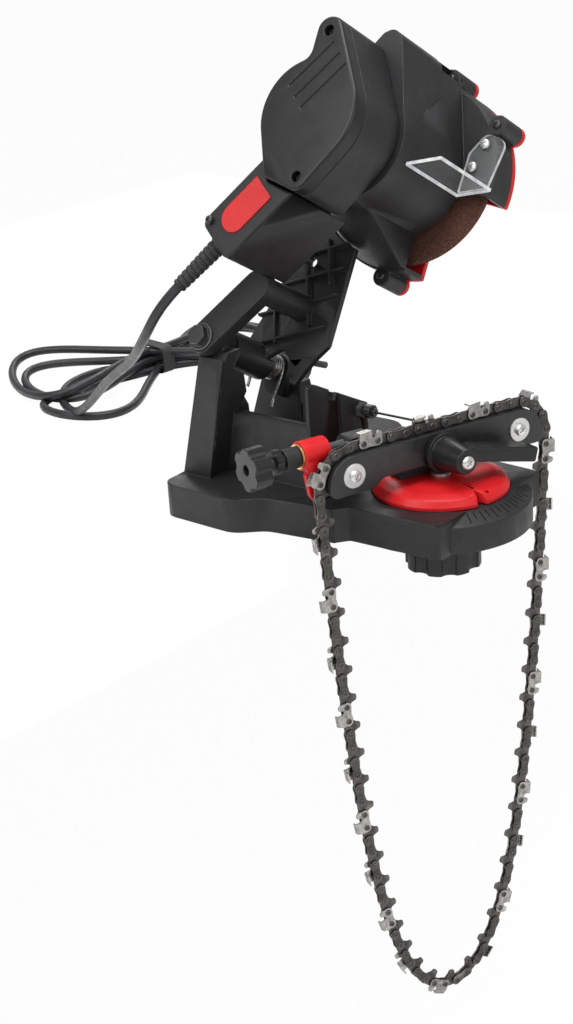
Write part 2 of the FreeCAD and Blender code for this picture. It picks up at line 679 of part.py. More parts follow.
def handle():
    body = start("handle_housing", HANDLE)
    box = draw(body, "XY_Plane", "handle_back")
    outline(box, [("handle_end", "-handle_high", 5), ("handle_end", "handle_low", 5), (34.4, "handle_low"),
                  (42.6, 9.5), (35.4, "-handle_high")])
    pad(body, box, "handle_face - handle_back")
    soften(body, 1.6, lambda p, e: abs(p.z - size("handle_face")) < 0.01)
    neck_room = draw(body, "XY_Plane", "handle_back")
    circle(neck_room, 0, 0, "motor_nose + 0.3")
    cut(body, neck_room, "split_s - handle_back + 0.2", back=True)
    arm_room = draw(body, "XY_Plane", "handle_back")
    circle(arm_room, 95.6, 26.9, 9.9)
    cut(body, arm_room, 17, back=True)
    bay = draw(body, "XZ_Plane", -4)
    outline(bay, [(51.5, 106), (76.5, 106), (76.5, 126), (51.5, 126)])
    cut(body, bay, 10, back=True)
    pin_way = draw(body, "XY_Plane", 105)
    circle(pin_way, 64, 0, "rocker_pin + running_gap")
    cut(body, pin_way, 22, back=True)
    label = start("label_plate", HANDLE)
    badge = draw(label, "XY_Plane", "handle_face + 0.05")
    outline(badge, [(45.5, 2.4), (79, 2.4, 8.9), (79, 20.6, 8.9), (45.5, 20.6)])
    pad(label, badge, 0.6)
    disc("handle_screw", HANDLE * placed(83, 0.8), 2.4, 3, None, "handle_face + 0.05")
    relief = HANDLE * placed("handle_end", 9.5, 133, (0, 1, 0), 90)
    strain = start("strain_relief", relief)
    half = draw(strain, "XZ_Plane")
    ribs = [(3.1, 0.1), (5.4, 0.1)]
    for i in range(9):
        z = 0.1 + 3.8 * i
        r = 5.4 - 0.12 * i
        ribs.extend([(r, z + 2.4), (r - 0.8, z + 2.4), (r - 0.8, z + 3.8), (r - 0.12, z + 3.8)])
    ribs.extend([(4.3, "relief_length"), (3.1, "relief_length")])
    outline(half, ribs)
    spin(strain, half)
    rocker = start("switch_rocker", HANDLE)
    cap = draw(rocker, "XZ_Plane", -1)
    outline(cap, [(53, 107), (75, 107), (75, 125), (53, 125)])
    pad(rocker, cap, 6.8)
    pin = draw(rocker, "XY_Plane", 105.2)
    circle(pin, 64, 0, "rocker_pin")
    pad(rocker, pin, 21.6)


def guard():
    body = start("guard_housing", SPINDLE)
    half = draw(body, "XZ_Plane")
    outline(half, [(0, "guard_face"), (57, "guard_face"), (57, 44), ("motor_nose", 88),
                   ("motor_nose", "split_s"), (0, "split_s")])
    spin(body, half)
    spine = draw(body, "XY_Plane", "guard_face")
    outline(spine, [(33.4, 12.3), (15.8, 61.4), (8.3, 66.7, 6), (1.9, 63.4), (-28.7, 21.1), (0, -10)])
    pad(body, spine, "split_s - guard_face")
    flank = draw(body, "XY_Plane", "boss_face")
    outline(flank, [(13.6, -75)] + NECK_ARC + [polar(36.4, 6), polar(36.4, 20), (16.4, 61.6), (16.4, 75),
                    (75, 75), (75, -75)])
    cut(body, flank, 80, back=True)
    rim = draw(body, "XY_Plane", "guard_back")
    circle(rim, 0, 0, "guard_radius")
    circle(rim, 0, 0, "guard_radius - 3")
    pad(body, rim, "boss_face - guard_back - 1")
    for angle in BOSSES:
        boss = draw(body, "XY_Plane", "guard_back")
        circle(boss, *polar(61.6, angle), 6)
        pad(body, boss, "boss_face - guard_back")
    driver_way = draw(body, "XY_Plane", "boss_face")
    circle(driver_way, 11.6, 60.6, 5.6)
    cut(body, driver_way, 20, back=True)
    opening = draw(body, "XY_Plane", "guard_back")
    outline(opening, OPENING)
    cut(body, opening, "boss_face - guard_back", back=True)
    bore = draw(body, "XY_Plane", "guard_back")
    circle(bore, 0, 0, 6)
    cut(body, bore, 40, back=True)
    cover_low = "guard_back - 0.1 - cover_thick"
    cover = disc("wheel_cover", SPINDLE, "guard_radius", "cover_thick", None, cover_low)
    for angle in BOSSES:
        ear = draw(cover, "XY_Plane", "guard_back - 0.1 - cover_thick")
        circle(ear, *polar(61.6, angle), 6)
        pad(cover, ear, "cover_thick")
    mouth = draw(cover, "XY_Plane", "guard_back - 6")
    outline(mouth, OPENING)
    cut(cover, mouth, 10, back=True)
    screws = start("guard_screws", SPINDLE)
    for angle in BOSSES:
        head = draw(screws, "XY_Plane", "boss_face + 0.05")
        circle(head, *polar(61.6, angle), 2.6)
        pad(screws, head, 1.6)
    screws.AllowCompound = True


def polar(radius, degrees):
    return radius * math.cos(math.radians(degrees)), radius * math.sin(math.radians(degrees))


BOSSES = (81, 35, -91)
NECK_ARC = [polar(36.4, angle) for angle in range(-68, 0, 12)]
OPENING = [(13.6, -75)] + NECK_ARC + [(75, -10.5), (75, -75)]


def web():
    """Ribbed web with its hub, and the flat arm outside the near pillar."""
    body = start("arm_web", HEAD)
    sheet_plan = draw(body, "XY_Plane", 54)
    outline(sheet_plan, [
        (-134, 70), (-113, 125), (-104, 160), (-71.5, 150), (-71.5, 80, 4), (-78, 71.7, 3), (-84.4, 61.4, 3),
        (-88.5, 52.6, 2.5), (-94, 55.5, 3), (-97, 68, 3), (-104, 74, 4), (-116, 66), (-126, 57),
    ])
    pad(body, sheet_plan, 4)
    away = draw(body, "XY_Plane", 50)
    circle(away, "-spindle_x", "spindle_v", 52.7)
    cut(body, away, 20, back=True)
    hub = draw(body, "XY_Plane", 47)
    circle(hub, "-hinge_x", "hinge_v", 11)
    pad(body, hub, 37)
    for start_at, end_at in RIBS:
        rib = draw(body, "XY_Plane", 57)
        across = Vector(end_at[1] - start_at[1], start_at[0] - end_at[0], 0).normalize() * size("rib_half")
        outline(rib, [(start_at[0] - across.x, start_at[1] - across.y),
                      (end_at[0] - across.x, end_at[1] - across.y),
                      (end_at[0] + across.x, end_at[1] + across.y),
                      (start_at[0] + across.x, start_at[1] + across.y)])
        pad(body, rib, 5)
    window = draw(body, "XY_Plane", 50)
    circle(window, -99.5, 128.4, 2.6)
    cut(body, window, 12, back=True)
    post = draw(body, "XY_Plane", 57)
    circle(post, -97.4, 99.7, 8)
    pad(body, post, 39.6)
    bore = draw(body, "XY_Plane", 40)
    circle(bore, "-hinge_x", "hinge_v", "hinge_radius + running_gap")
    cut(body, bore, 50, back=True)
    arm = start("arm_bar", HEAD)
    bar = draw(arm, "XY_Plane", 97)
    along = Vector(28.6, 34.7, 0).normalize()
    side = Vector(along.y, -along.x, 0) * 9.5
    near = Vector(-126, 65, 0) - along * 9.5
    far = Vector(-97.4, 99.7, 0) + along * 9.5
    corners = [near - side, near + side, far + side, far - side]
    outline(bar, [(c.x, c.y, 9.3) for c in corners])
    pad(arm, bar, 9)
    bore = draw(arm, "XY_Plane", 90)
    circle(bore, "-hinge_x", "hinge_v", "hinge_radius + running_gap")
    cut(arm, bore, 30, back=True)


RIBS = [((-127, 91), (-73, 111)), ((-117, 111), (-74, 127)), ((-111, 129), (-76, 142)),
        ((-119, 75), (-76, 91)), ((-107, 143), (-88, 90)), ((-121, 112), (-109, 76)),
        ((-90, 143), (-80, 116))]


# ---------------------------------------------------------------- shield, spindle and cord
def shield():
    """Clear eye shield on two screws at the open side of the guard."""
    body = start("eye_shield", HEAD)
    mount = draw(body, "XY_Plane", "boss_face + 0.1")
    outline(mount, [(-22, 184.2), (-3, 188.7), (2, 217, 6), (-13, 220.5, 5), (-21.5, 208, 4)])
    pad(body, mount, 2)
    tray = draw(body, "XY_Plane", "boss_face + 0.1")
    outline(tray, [(-23, 181.8), (-1, 187), (-1, 189), (-23, 183.8)])
    pad(body, tray, 55)
    screws = start("shield_screws", HEAD)
    for x, v in ((-12, 214), (-16.5, 199.9)):
        head = draw(screws, "XY_Plane", "boss_face + 2.15")
        circle(head, x, v, 3)
        pad(screws, head, 1.8)
    screws.AllowCompound = True


def spindle():
    body = disc("spindle_shaft", SPINDLE, 5.95, 12, None, 36.5)
    thin = draw(body, "XY_Plane", 23)
    circle(thin, 0, 0, 5)
    pad(body, thin, 14)
    disc("inner_flange", SPINDLE, 18, 2.8, 5.02, "wheel_s + wheel_thick / 2 + 0.02")
    wheel = start("grinding_wheel", SPINDLE)
    half = draw(wheel, "XZ_Plane")
    outline(half, [(5.05, "wheel_s - wheel_thick / 2"), ("wheel_radius - 1.6", "wheel_s - wheel_thick / 2"),
                   ("wheel_radius", "wheel_s"), ("wheel_radius - 1.6", "wheel_s + wheel_thick / 2"),
                   (5.05, "wheel_s + wheel_thick / 2")])
    spin(wheel, half)
    disc("outer_flange", SPINDLE, 18, 2.4, 5.02, "wheel_s - wheel_thick / 2 - 2.42")
    hexagon("spindle_nut", SPINDLE, 8, 4, 5.02, 23.4)


LEAD = [(-129.2, -71.4, 142.3), (-139, -77.6, 131.4), (-157.1, -76.8, 107.5), (-195, -50, 82),
        (-240, -29, 57), (-279, -4, 34), (-312, 12, 12)]
HANK = [(-400, 40, 20), (-452, 58, 24), (-460, 112, 24), (-436, 142, 14), (-398, 152, 10), (-416, 226, 24),
        (-378, 262, 24), (-326, 258, 24), (-290, 216, 20), (-294, 140, 10), (-316, 118, 14), (-296, 62, 24),
        (-284, 4, 16), (-344, 6, 20)]


def tube(points, radius):
    """Tube of straight runs joined by arcs as wide as the runs allow."""
    spots = [Vector(*p) for p in points]
    edges = []
    last = spots[0]
    for before, here, after in zip(spots, spots[1:], spots[2:]):
        inward = (before - here).normalize()
        outward = (after - here).normalize()
        turn = math.pi - inward.getAngle(outward)
        reach = 0.45 * min((before - here).Length, (after - here).Length)
        bend = reach / math.tan(turn / 2.0)
        print("cord bend radius %.0f mm, turn %.0f deg" % (bend, math.degrees(turn)))
        start_at = here + inward * reach
        end_at = here + outward * reach
        bisector = (inward + outward).normalize()
        crown = here + bisector * (bend / math.cos(turn / 2.0) - bend)
        edges.append(Part.makeLine(last, start_at))
        edges.append(Part.Arc(start_at, crown, end_at).toShape())
        last = end_at
    edges.append(Part.makeLine(last, spots[-1]))
    path = Part.Wire(edges)
    ring = Part.Wire(Part.makeCircle(radius, spots[0], spots[1] - spots[0]))
    solid = path.makePipeShell([ring], True, False)
    expected = math.pi * radius * radius * path.Length
    if abs(solid.Volume - expected) > 0.02 * expected:
        raise RuntimeError("the cord's volume is off")
    return solid


def cord():
    """Free length from the handle to the bench, the tied hank, and the plug beside it."""
    group("cord_lead", [tube(LEAD, size("cord_radius"))], TURNTABLE)
    hank = start("cord_hank", TURNTABLE)
    plan = draw(hank, "XY_Plane", 0.1)
    outline(plan, HANK)
    pad(hank, plan, "hank_thick")
    tie = start("cord_tie", TURNTABLE * placed(-360, 133, "hank_thick / 2 + 0.1", (0, 0, 1), 83))
    band = draw(tie, "YZ_Plane", -5)
    outline(band, [(-17, -9.5, 6), (17, -9.5, 6), (17, 11, 6), (-17, 11, 6)])
    outline(band, [(-15.6, -9.4, 5), (15.6, -9.4, 5), (15.6, 9.6, 5), (-15.6, 9.6, 5)])
    pad(tie, band, 10)
    plug = start("mains_plug", TURNTABLE * placed(-234, 150, 18.2, (0, 1, 0), 90))
    half = draw(plug, "XZ_Plane")
    outline(half, [(0, 0), (18, 0), (18, -15, 3), (11, -27, 3), (7, -48), (4.4, -60), (0, -60)])
    spin(plug, half)
    pins = draw(plug)
    circle(pins, 0, 9.5, 2.4)
    circle(pins, 0, -9.5, 2.4)
    pad(plug, pins, 19)


def finish():
    """Check every object, then write one file for each node."""
    doc.recompute()
    for thing in doc.Objects:
        if any(word in thing.State for word in ("Invalid", "Error")):
            raise RuntimeError("%s is %s" % (thing.Name, thing.State))
    os.makedirs("parts", exist_ok=True)
    for node in NODES:
        shape = node.Shape
        if shape.isNull() or not shape.isValid() or not shape.Solids:
            raise RuntimeError("%s has no sound solid" % node.Label)
        shape.exportStep("parts/%s.step" % node.Label)
    print("%d nodes written" % len(NODES))


def main():
    base_housing()
    fixings()
    return_spring()
    turntable()
    rails()
    lever()
    chain_stop()
    chain()
    motor()
    handle()
    guard()
    web()
    shield()
    spindle()
    cord()
    finish()


main()
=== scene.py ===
"""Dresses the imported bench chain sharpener: finishes, rounded mouldings, saw chain, screws, angle
scale, clear shield, mains cord and studio.

Metres, +Z up. Every piece is made where it stands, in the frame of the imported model.
"""

import json
import math

import bmesh
import bpy
from bpy.props import FloatProperty, FloatVectorProperty, IntProperty, PointerProperty
from mathutils import Matrix, Vector
from mathutils.bvhtree import BVHTree


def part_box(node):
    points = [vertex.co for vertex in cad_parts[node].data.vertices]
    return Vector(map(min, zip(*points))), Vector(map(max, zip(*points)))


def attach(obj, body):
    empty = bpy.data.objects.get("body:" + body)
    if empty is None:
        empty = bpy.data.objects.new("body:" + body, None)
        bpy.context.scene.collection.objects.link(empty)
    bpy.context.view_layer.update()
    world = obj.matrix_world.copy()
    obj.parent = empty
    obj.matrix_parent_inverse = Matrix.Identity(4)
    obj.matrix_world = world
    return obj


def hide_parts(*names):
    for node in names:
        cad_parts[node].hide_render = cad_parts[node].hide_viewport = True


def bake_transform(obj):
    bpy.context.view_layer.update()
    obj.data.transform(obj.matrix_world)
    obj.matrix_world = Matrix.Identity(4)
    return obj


bl_info = {
    "name": "Chain Sharpener Dressing",
    "version": (1, 0, 0),
    "blender": (4, 5, 0),
    "location": "View3D > Sidebar > Sharpener",
    "description": "Finishes, chain, screws, scale, shield, cord and studio of a sharpener",
    "category": "Object",
}

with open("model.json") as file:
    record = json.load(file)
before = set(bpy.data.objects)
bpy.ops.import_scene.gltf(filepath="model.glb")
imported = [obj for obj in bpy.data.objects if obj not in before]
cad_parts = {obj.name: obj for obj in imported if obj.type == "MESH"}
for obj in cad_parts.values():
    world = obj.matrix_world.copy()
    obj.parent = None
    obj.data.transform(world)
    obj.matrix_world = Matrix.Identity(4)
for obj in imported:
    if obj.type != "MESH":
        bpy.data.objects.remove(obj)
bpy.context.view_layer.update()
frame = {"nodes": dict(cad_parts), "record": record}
NODES = frame["nodes"]
SLOT_OF = {part["node"]: part["material_slot"] for part in frame["record"]["subparts"]}
BODY_OF = {
    node: body for body, nodes in frame["record"]["behaviour"]["bodies"].items() for node in nodes
}


# ------------ places
def shift(x, y, z):
    return Matrix.Translation((x, y, z))


def turn(degrees, axis):
    return Matrix.Rotation(math.radians(degrees), 4, axis)


low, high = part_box("pivot_bolt")
TURNTABLE = shift((low.x + high.x) / 2.0, (low.y + high.y) / 2.0, 0.0)  # Z up the pivot bolt
VISE = TURNTABLE @ turn(-18.0, "Z")  # X out of the rails, Y along them
HEAD = TURNTABLE @ turn(60.0, "X")  # Z along the grinding spindle
SPINDLE = HEAD @ shift(-0.0593, 0.19135, 0.0)
HANDLE = SPINDLE @ turn(231.7, "Z")  # X from the spindle down the handle
VISE_FACE = VISE.to_3x3() @ Vector((1.0, 0.0, 0.0))
HEAD_FACE = HEAD.to_3x3() @ Vector((0.0, 0.0, 1.0))


# ------------ settings
def colour(name, note, value):
    return FloatVectorProperty(
        name=name, description=note, subtype="COLOR", size=3, min=0.0, max=1.0, default=value
    )


def length(name, note, value):
    return FloatProperty(
        name=name, description=note, unit="LENGTH", precision=5, min=0.0, default=value
    )


def watts(name, note, value):
    return FloatProperty(name=name, description=note, unit="POWER", min=0.0, default=value)


class SharpenerFinishes(bpy.types.PropertyGroup):
    """Colours of the surfaces, as linear values."""

    black: colour("Black moulding", "Grained plastic of base and head", (0.0115, 0.0115, 0.0125))
    red: colour("Red moulding", "Glossy plastic of turntable, cover and stop", (0.56, 0.010, 0.013))
    label: colour("Label", "Red film of the badge on the handle", (0.46, 0.015, 0.016))
    coated: colour("Coated steel", "Black coating of rails and fixings", (0.012, 0.012, 0.013))
    zinc: colour("Zinc plating", "Bright plated screws and washers", (0.72, 0.72, 0.70))
    oiled: colour("Oiled steel", "Blued chain links under oil", (0.045, 0.042, 0.038))
    spring: colour("Spring steel", "Hardened wire of the return spring", (0.36, 0.35, 0.34))
    cutter: colour("Cutter plating", "Hard plating of the cutting links", (0.34, 0.33, 0.31))
    brass: colour("Washer brass", "Plain brass", (0.72, 0.50, 0.22))
    abrasive: colour("Abrasive", "Bonded brown grit of the wheel", (0.105, 0.034, 0.018))
    clear: colour("Clear shield", "Tint of the clear plastic", (0.93, 0.95, 0.96))
    rubber: colour("Rubber", "Soft strain relief and plug", (0.016, 0.016, 0.017))
    sheath: colour("Cord sheath", "Satin plastic of the mains cord", (0.014, 0.014, 0.016))


class SharpenerSizes(bpy.types.PropertyGroup):
    """Sizes of the dressed pieces."""

    edge_round: length("Edge round", "Radius along the edges of the mouldings", 0.0006)
    plate_thick: length("Link plate", "Thickness of a side plate of the chain", 0.0011)
    drive_thick: length("Drive link", "Thickness of a drive link of the chain", 0.0013)
    rivet_radius: length("Rivet", "Radius of a chain rivet", 0.0019)
    tick_width: length("Tick width", "Width of one line of the angle scale", 0.0006)
    tick_count: IntProperty(name="Ticks", description="Lines of the angle scale", min=3, default=15)
    cord_diameter: length("Cord", "Outside diameter of the mains cord", 0.006)


class SharpenerStudio(bpy.types.PropertyGroup):
    """Floor, bench, lights and camera."""

    paper: colour("Paper", "Colour of the floor and the bench", (0.92, 0.92, 0.92))
    drop: length("Bench height", "Height of the bench top above the floor", 0.345)
    board: length("Bench board", "Thickness of the bench top", 0.020)
    edge: length("Bench edge", "How far the bench reaches in front of its bolts", 0.004)
    key_power: watts("Key", "Power of the key light", 12.0)
    top_power: watts("Top", "Power of the light overhead", 17.0)
    fill_power: watts("Fill", "Power of the fill light and the one behind", 6.0)
    lens: FloatProperty(
        name="Lens", description="Focal length in millimetres", unit="CAMERA", min=1.0,
        default=65.43,
    )


# ------------ finishes
def shade(tone, factor):
    """Tone made darker or paler, and never past full."""
    return tuple(min(1.0, channel * factor) for channel in tone)


class Finish:
    """One procedural finish on Object coordinates, built round a Principled shader."""

    def __init__(self, name, tone, roughness, **sockets):
        self.material = bpy.data.materials.new(name)
        self.material.use_nodes = True
        self.tree = self.material.node_tree
        self.shader = self.tree.nodes["Principled BSDF"]
        self.tone = tuple(tone)
        self.shader.inputs["Base Color"].default_value = (*self.tone, 1.0)
        self.shader.inputs["Roughness"].default_value = roughness
        for socket, value in sockets.items():
            self.shader.inputs[socket.replace("_", " ")].default_value = value
        self.place = self.add("ShaderNodeTexCoord").outputs["Object"]
        self.last_bump = None

    def add(self, kind, **inputs):
        node = self.tree.nodes.new(kind)
        for socket, value in inputs.items():
            self.feed(node.inputs[socket.replace("_", " ")], value)
        return node

    def feed(self, socket, value):
        if isinstance(value, bpy.types.NodeSocket):
            self.tree.links.new(value, socket)
        else:
            socket.default_value = value

    def noise(self, scale, detail, stretch=(1.0, 1.0, 1.0)):
        spread = self.add("ShaderNodeMapping", Vector=self.place, Scale=stretch).outputs[0]
        return self.add("ShaderNodeTexNoise", Vector=spread, Scale=scale, Detail=detail).outputs[0]

    def range(self, value, low, high, start=0.3, end=0.7):
        """Pattern taken from start..end to low..high."""
        node = self.add(
            "ShaderNodeMapRange", Value=value, From_Min=start, From_Max=end, To_Min=low, To_Max=high
        )
        return node.outputs["Result"]

    def blend(self, factor, one, other):
        node = self.tree.nodes.new("ShaderNodeMix")
        node.data_type = "RGBA"
        self.feed(node.inputs[0], factor)
        for socket, value in ((node.inputs[6], one), (node.inputs[7], other)):
            self.feed(socket, value if isinstance(value, bpy.types.NodeSocket) else (*value, 1.0))
        return node.outputs[2]

    def mottled(self, scale, detail, one, other):
        """Colour that drifts in patches between two shades of the tone."""
        patches = self.range(self.noise(scale, detail), 0.0, 1.0)
        return self.blend(patches, shade(self.tone, one), shade(self.tone, other))

    def edge_wear_and_sheen(self, body, start, end, edge_tone):
        """Colour that gives way to an edge tone along the outer edges, where the finish is worn and
        polished; on the black moulding the paler edges are also a painted highlight.
        """
        edge = self.add("ShaderNodeNewGeometry").outputs["Pointiness"]
        return self.blend(self.range(edge, 0.0, 1.0, start, end), body, edge_tone)

    def paint(self, body):
        self.feed(self.shader.inputs["Base Color"], body)

    def polish(self, scale, detail, low, high):
        """Roughness that drifts in patches."""
        patches = self.range(self.noise(scale, detail), low, high)
        self.feed(self.shader.inputs["Roughness"], patches)

    def relief(self, height, strength, distance):
        """Fine relief, laid over the one before it."""
        node = self.add("ShaderNodeBump", Height=height, Strength=strength, Distance=distance)
        if self.last_bump:
            self.feed(node.inputs["Normal"], self.last_bump)
        self.last_bump = node.outputs["Normal"]
        self.feed(self.shader.inputs["Normal"], self.last_bump)

    def grain(self, scale, detail, strength, distance):
        self.relief(self.noise(scale, detail), strength, distance)


def black_moulding(tone):
    """Spark-grained nylon: fine grain, faint flow clouds, edges worn a little paler, which is also
    a painted highlight along them.
    """
    finish = Finish("black_moulding", tone, 0.46, Specular_IOR_Level=0.38)
    clouds = finish.mottled(28.0, 4.0, 0.88, 1.25)
    # paler edges: partly wear, partly a painted highlight along the edges
    finish.paint(finish.edge_wear_and_sheen(clouds, 0.53, 0.60, shade(tone, 2.4)))
    finish.polish(140.0, 3.0, 0.40, 0.54)
    finish.grain(2100.0, 2.0, 0.22, 0.00012)
    finish.grain(35.0, 2.0, 0.05, 0.0006)
    return finish.material


def smooth_black(tone):
    """Polished black plastic of the cap and knobs, with light handling marks."""
    finish = Finish("smooth_black", tone, 0.34, Specular_IOR_Level=0.36)
    finish.paint(finish.mottled(22.0, 3.0, 0.7, 0.95))
    finish.polish(90.0, 5.0, 0.28, 0.44)
    finish.grain(1300.0, 2.0, 0.10, 0.0001)
    return finish.material


def red_moulding(tone):
    """Glossy red plastic with a faint orange peel and darker flow clouds."""
    finish = Finish("red_moulding", tone, 0.40, Specular_IOR_Level=0.28)
    clouds = finish.mottled(40.0, 3.0, 0.86, 1.06)
    finish.paint(finish.edge_wear_and_sheen(clouds, 0.54, 0.62, shade(tone, 1.2)))
    finish.polish(160.0, 3.0, 0.35, 0.48)
    finish.grain(900.0, 2.0, 0.06, 0.0001)
    return finish.material


def label_film(tone):
    """Printed film, satin, pulled flat over the plastic."""
    finish = Finish("label_film", tone, 0.42, Specular_IOR_Level=0.4)
    finish.paint(finish.mottled(60.0, 3.0, 0.93, 1.04))
    finish.polish(300.0, 3.0, 0.30, 0.42)
    finish.grain(420.0, 2.0, 0.04, 0.0001)
    return finish.material


def coated_steel(tone):
    """Baked black coat on steel: orange peel, with grey steel where the coat wears off the edges.
    """
    finish = Finish("coated_steel", tone, 0.36, Specular_IOR_Level=0.6)
    clouds = finish.mottled(55.0, 4.0, 0.85, 1.35)
    finish.paint(finish.edge_wear_and_sheen(clouds, 0.56, 0.66, (0.11, 0.11, 0.11)))
    finish.polish(210.0, 4.0, 0.28, 0.46)
    finish.grain(1000.0, 2.0, 0.16, 0.0001)
    return finish.material


def zinc_plate(tone):
    """Bright plated steel with cloudy patches, the edges polished by handling."""
    finish = Finish("zinc_plate", tone, 0.34, Metallic=0.9)
    clouds = finish.mottled(160.0, 3.0, 0.86, 1.04)
    finish.paint(finish.edge_wear_and_sheen(clouds, 0.54, 0.66, shade(tone, 1.2)))
    finish.polish(420.0, 3.0, 0.28, 0.40)
    finish.grain(900.0, 2.0, 0.03, 0.00003)
    return finish.material


def oiled_steel(tone):
    """Blued chain steel: dark, patchy with oil, worn to plain steel where the links rub."""
    finish = Finish("oiled_steel", tone, 0.38, Metallic=0.85, Coat_Weight=0.3, Coat_Roughness=0.25)
    patches = finish.mottled(260.0, 4.0, 0.45, 1.5)
    finish.paint(finish.edge_wear_and_sheen(patches, 0.54, 0.66, (0.26, 0.24, 0.22)))
    finish.polish(420.0, 4.0, 0.26, 0.55)
    finish.grain(900.0, 3.0, 0.25, 0.0001)
    return finish.material


def cutter_plate(tone):
    """Plated cutting links: bright on the corners, stained in the hollows."""
    finish = Finish("cutter_plate", tone, 0.27, Metallic=1.0)
    stains = finish.mottled(330.0, 4.0, 0.55, 1.15)
    finish.paint(finish.edge_wear_and_sheen(stains, 0.54, 0.64, shade(tone, 1.5)))
    finish.polish(620.0, 3.0, 0.20, 0.40)
    finish.grain(1800.0, 2.0, 0.14, 0.00006)
    return finish.material


def spring_steel(tone):
    """Hardened wire, darker where the oil has stayed."""
    finish = Finish("spring_steel", tone, 0.30, Metallic=1.0)
    finish.paint(finish.mottled(240.0, 4.0, 0.35, 1.2))
    finish.polish(600.0, 3.0, 0.22, 0.42)
    finish.grain(1500.0, 2.0, 0.05, 0.00003)
    return finish.material


def brass(tone):
    """Plain brass, dulled in patches."""
    finish = Finish("brass", tone, 0.30, Metallic=1.0)
    finish.paint(finish.mottled(300.0, 3.0, 0.75, 1.05))
    finish.polish(400.0, 3.0, 0.24, 0.40)
    return finish.material


def abrasive(tone):
    """Bonded grit: coarse grains, darker pore spaces between them painted as shade, and a few pale
    crystals.
    """
    finish = Finish("abrasive", tone, 0.85)
    cells = finish.add("ShaderNodeTexVoronoi", Vector=finish.place, Scale=1500.0)
    grains = cells.outputs["Distance"]
    # painted shade: each grain cell darkens towards its rim, into the pore spaces between grains
    depth = finish.range(grains, 0.0, 1.0, 0.1, 0.7)
    pore_shade = finish.blend(depth, shade(tone, 1.5), shade(tone, 0.35))
    crystals = finish.range(finish.noise(2300.0, 1.0), 0.0, 1.0, 0.66, 0.72)
    finish.paint(finish.blend(crystals, pore_shade, (0.30, 0.17, 0.11)))
    finish.polish(900.0, 3.0, 0.70, 0.95)
    finish.relief(grains, 0.8, 0.0004)
    return finish.material


def clear_plastic(tone):
    """Clear acrylic sheet: hairline scratches and a faint haze over what is behind it."""
    finish = Finish("clear_plastic", tone, 0.10, Specular_IOR_Level=0.7)
    scratches = finish.noise(220.0, 6.0, (1.0, 14.0, 1.0))
    finish.feed(finish.shader.inputs["Roughness"], finish.range(scratches, 0.06, 0.22, 0.55, 0.85))
    finish.feed(finish.shader.inputs["Alpha"], finish.range(scratches, 0.03, 0.09, 0.45, 0.80))
    finish.paint(finish.mottled(70.0, 3.0, 1.0, 0.93))
    finish.relief(scratches, 0.03, 0.00005)
    return finish.material


def frosted_edge(tone):
    """Cut edge of the clear sheet, frosted, and painted pale and nearly opaque for the light that
    it gathers and glows with.
    """
    finish = Finish("frosted_edge", tone, 0.30, Specular_IOR_Level=0.8)
    # painted glow: the pale edge stands in for the light gathered in the sheet's edge
    finish.paint(finish.mottled(300.0, 3.0, 0.80, 1.0))
    finish.polish(500.0, 3.0, 0.22, 0.40)
    haze = finish.range(finish.noise(120.0, 3.0), 0.55, 0.90)
    finish.feed(finish.shader.inputs["Alpha"], haze)
    finish.grain(700.0, 2.0, 0.05, 0.00005)
    return finish.material


def scale_ink(tone):
    """Matt floor of the engraved scale lines, painted dark for the shade in the grooves, with dust
    settled in places.
    """
    finish = Finish("scale_ink", tone, 0.80, Specular_IOR_Level=0.1)
    # painted shade: the lines are darkened well below the tone of the moulding
    finish.paint(finish.mottled(90.0, 3.0, 0.25, 0.5))
    finish.polish(400.0, 3.0, 0.70, 0.90)
    return finish.material


def rubber(tone):
    """Matt soft rubber with a chalky bloom."""
    finish = Finish("rubber", tone, 0.62, Specular_IOR_Level=0.4)
    finish.paint(finish.mottled(75.0, 5.0, 0.9, 1.6))
    finish.polish(260.0, 3.0, 0.52, 0.72)
    finish.grain(1700.0, 2.0, 0.20, 0.0001)
    return finish.material


def cord_sheath(tone):
    """Satin cord sheath, a little uneven over the cores under it."""
    finish = Finish("cord_sheath", tone, 0.40, Specular_IOR_Level=0.42)
    finish.paint(finish.mottled(36.0, 4.0, 0.8, 1.5))
    finish.polish(180.0, 3.0, 0.33, 0.50)
    finish.grain(260.0, 2.0, 0.12, 0.0003)
    return finish.material


def seen_directly(tree):
    """1 for rays from the camera or through clear pieces, 0 for light that bounces about."""
    path = tree.nodes.new("ShaderNodeLightPath")
    either = tree.nodes.new("ShaderNodeMath")
    either.operation = "MAXIMUM"
    tree.links.new(path.outputs["Is Camera Ray"], either.inputs[0])
    tree.links.new(path.outputs["Is Transmission Ray"], either.inputs[1])
    return either.outputs[0]


PAPER_GLOW = 0.95  # share of the paper that is plain white; the rest takes the shadow


def paper(tone):
    """Seamless paper: near white where it is seen, with the object's shadow kept faintly."""
    made = bpy.data.materials.new("paper")
    made.use_nodes = True
    tree = made.node_tree
    tree.nodes.clear()
    diffuse = tree.nodes.new("ShaderNodeBsdfDiffuse")
    diffuse.inputs["Color"].default_value = (*tone, 1.0)
    glow = tree.nodes.new("ShaderNodeEmission")
    glow.inputs["Color"].default_value = (1.0, 1.0, 1.0, 1.0)
    share = tree.nodes.new("ShaderNodeMath")
    share.operation = "MULTIPLY"
    share.inputs[1].default_value = PAPER_GLOW
    tree.links.new(seen_directly(tree), share.inputs[0])
    mix = tree.nodes.new("ShaderNodeMixShader")
    for socket, source in zip(mix.inputs, (share, diffuse, glow)):
        tree.links.new(source.outputs[0], socket)
    out = tree.nodes.new("ShaderNodeOutputMaterial")
    tree.links.new(mix.outputs[0], out.inputs["Surface"])
    return made


FINISH = {}
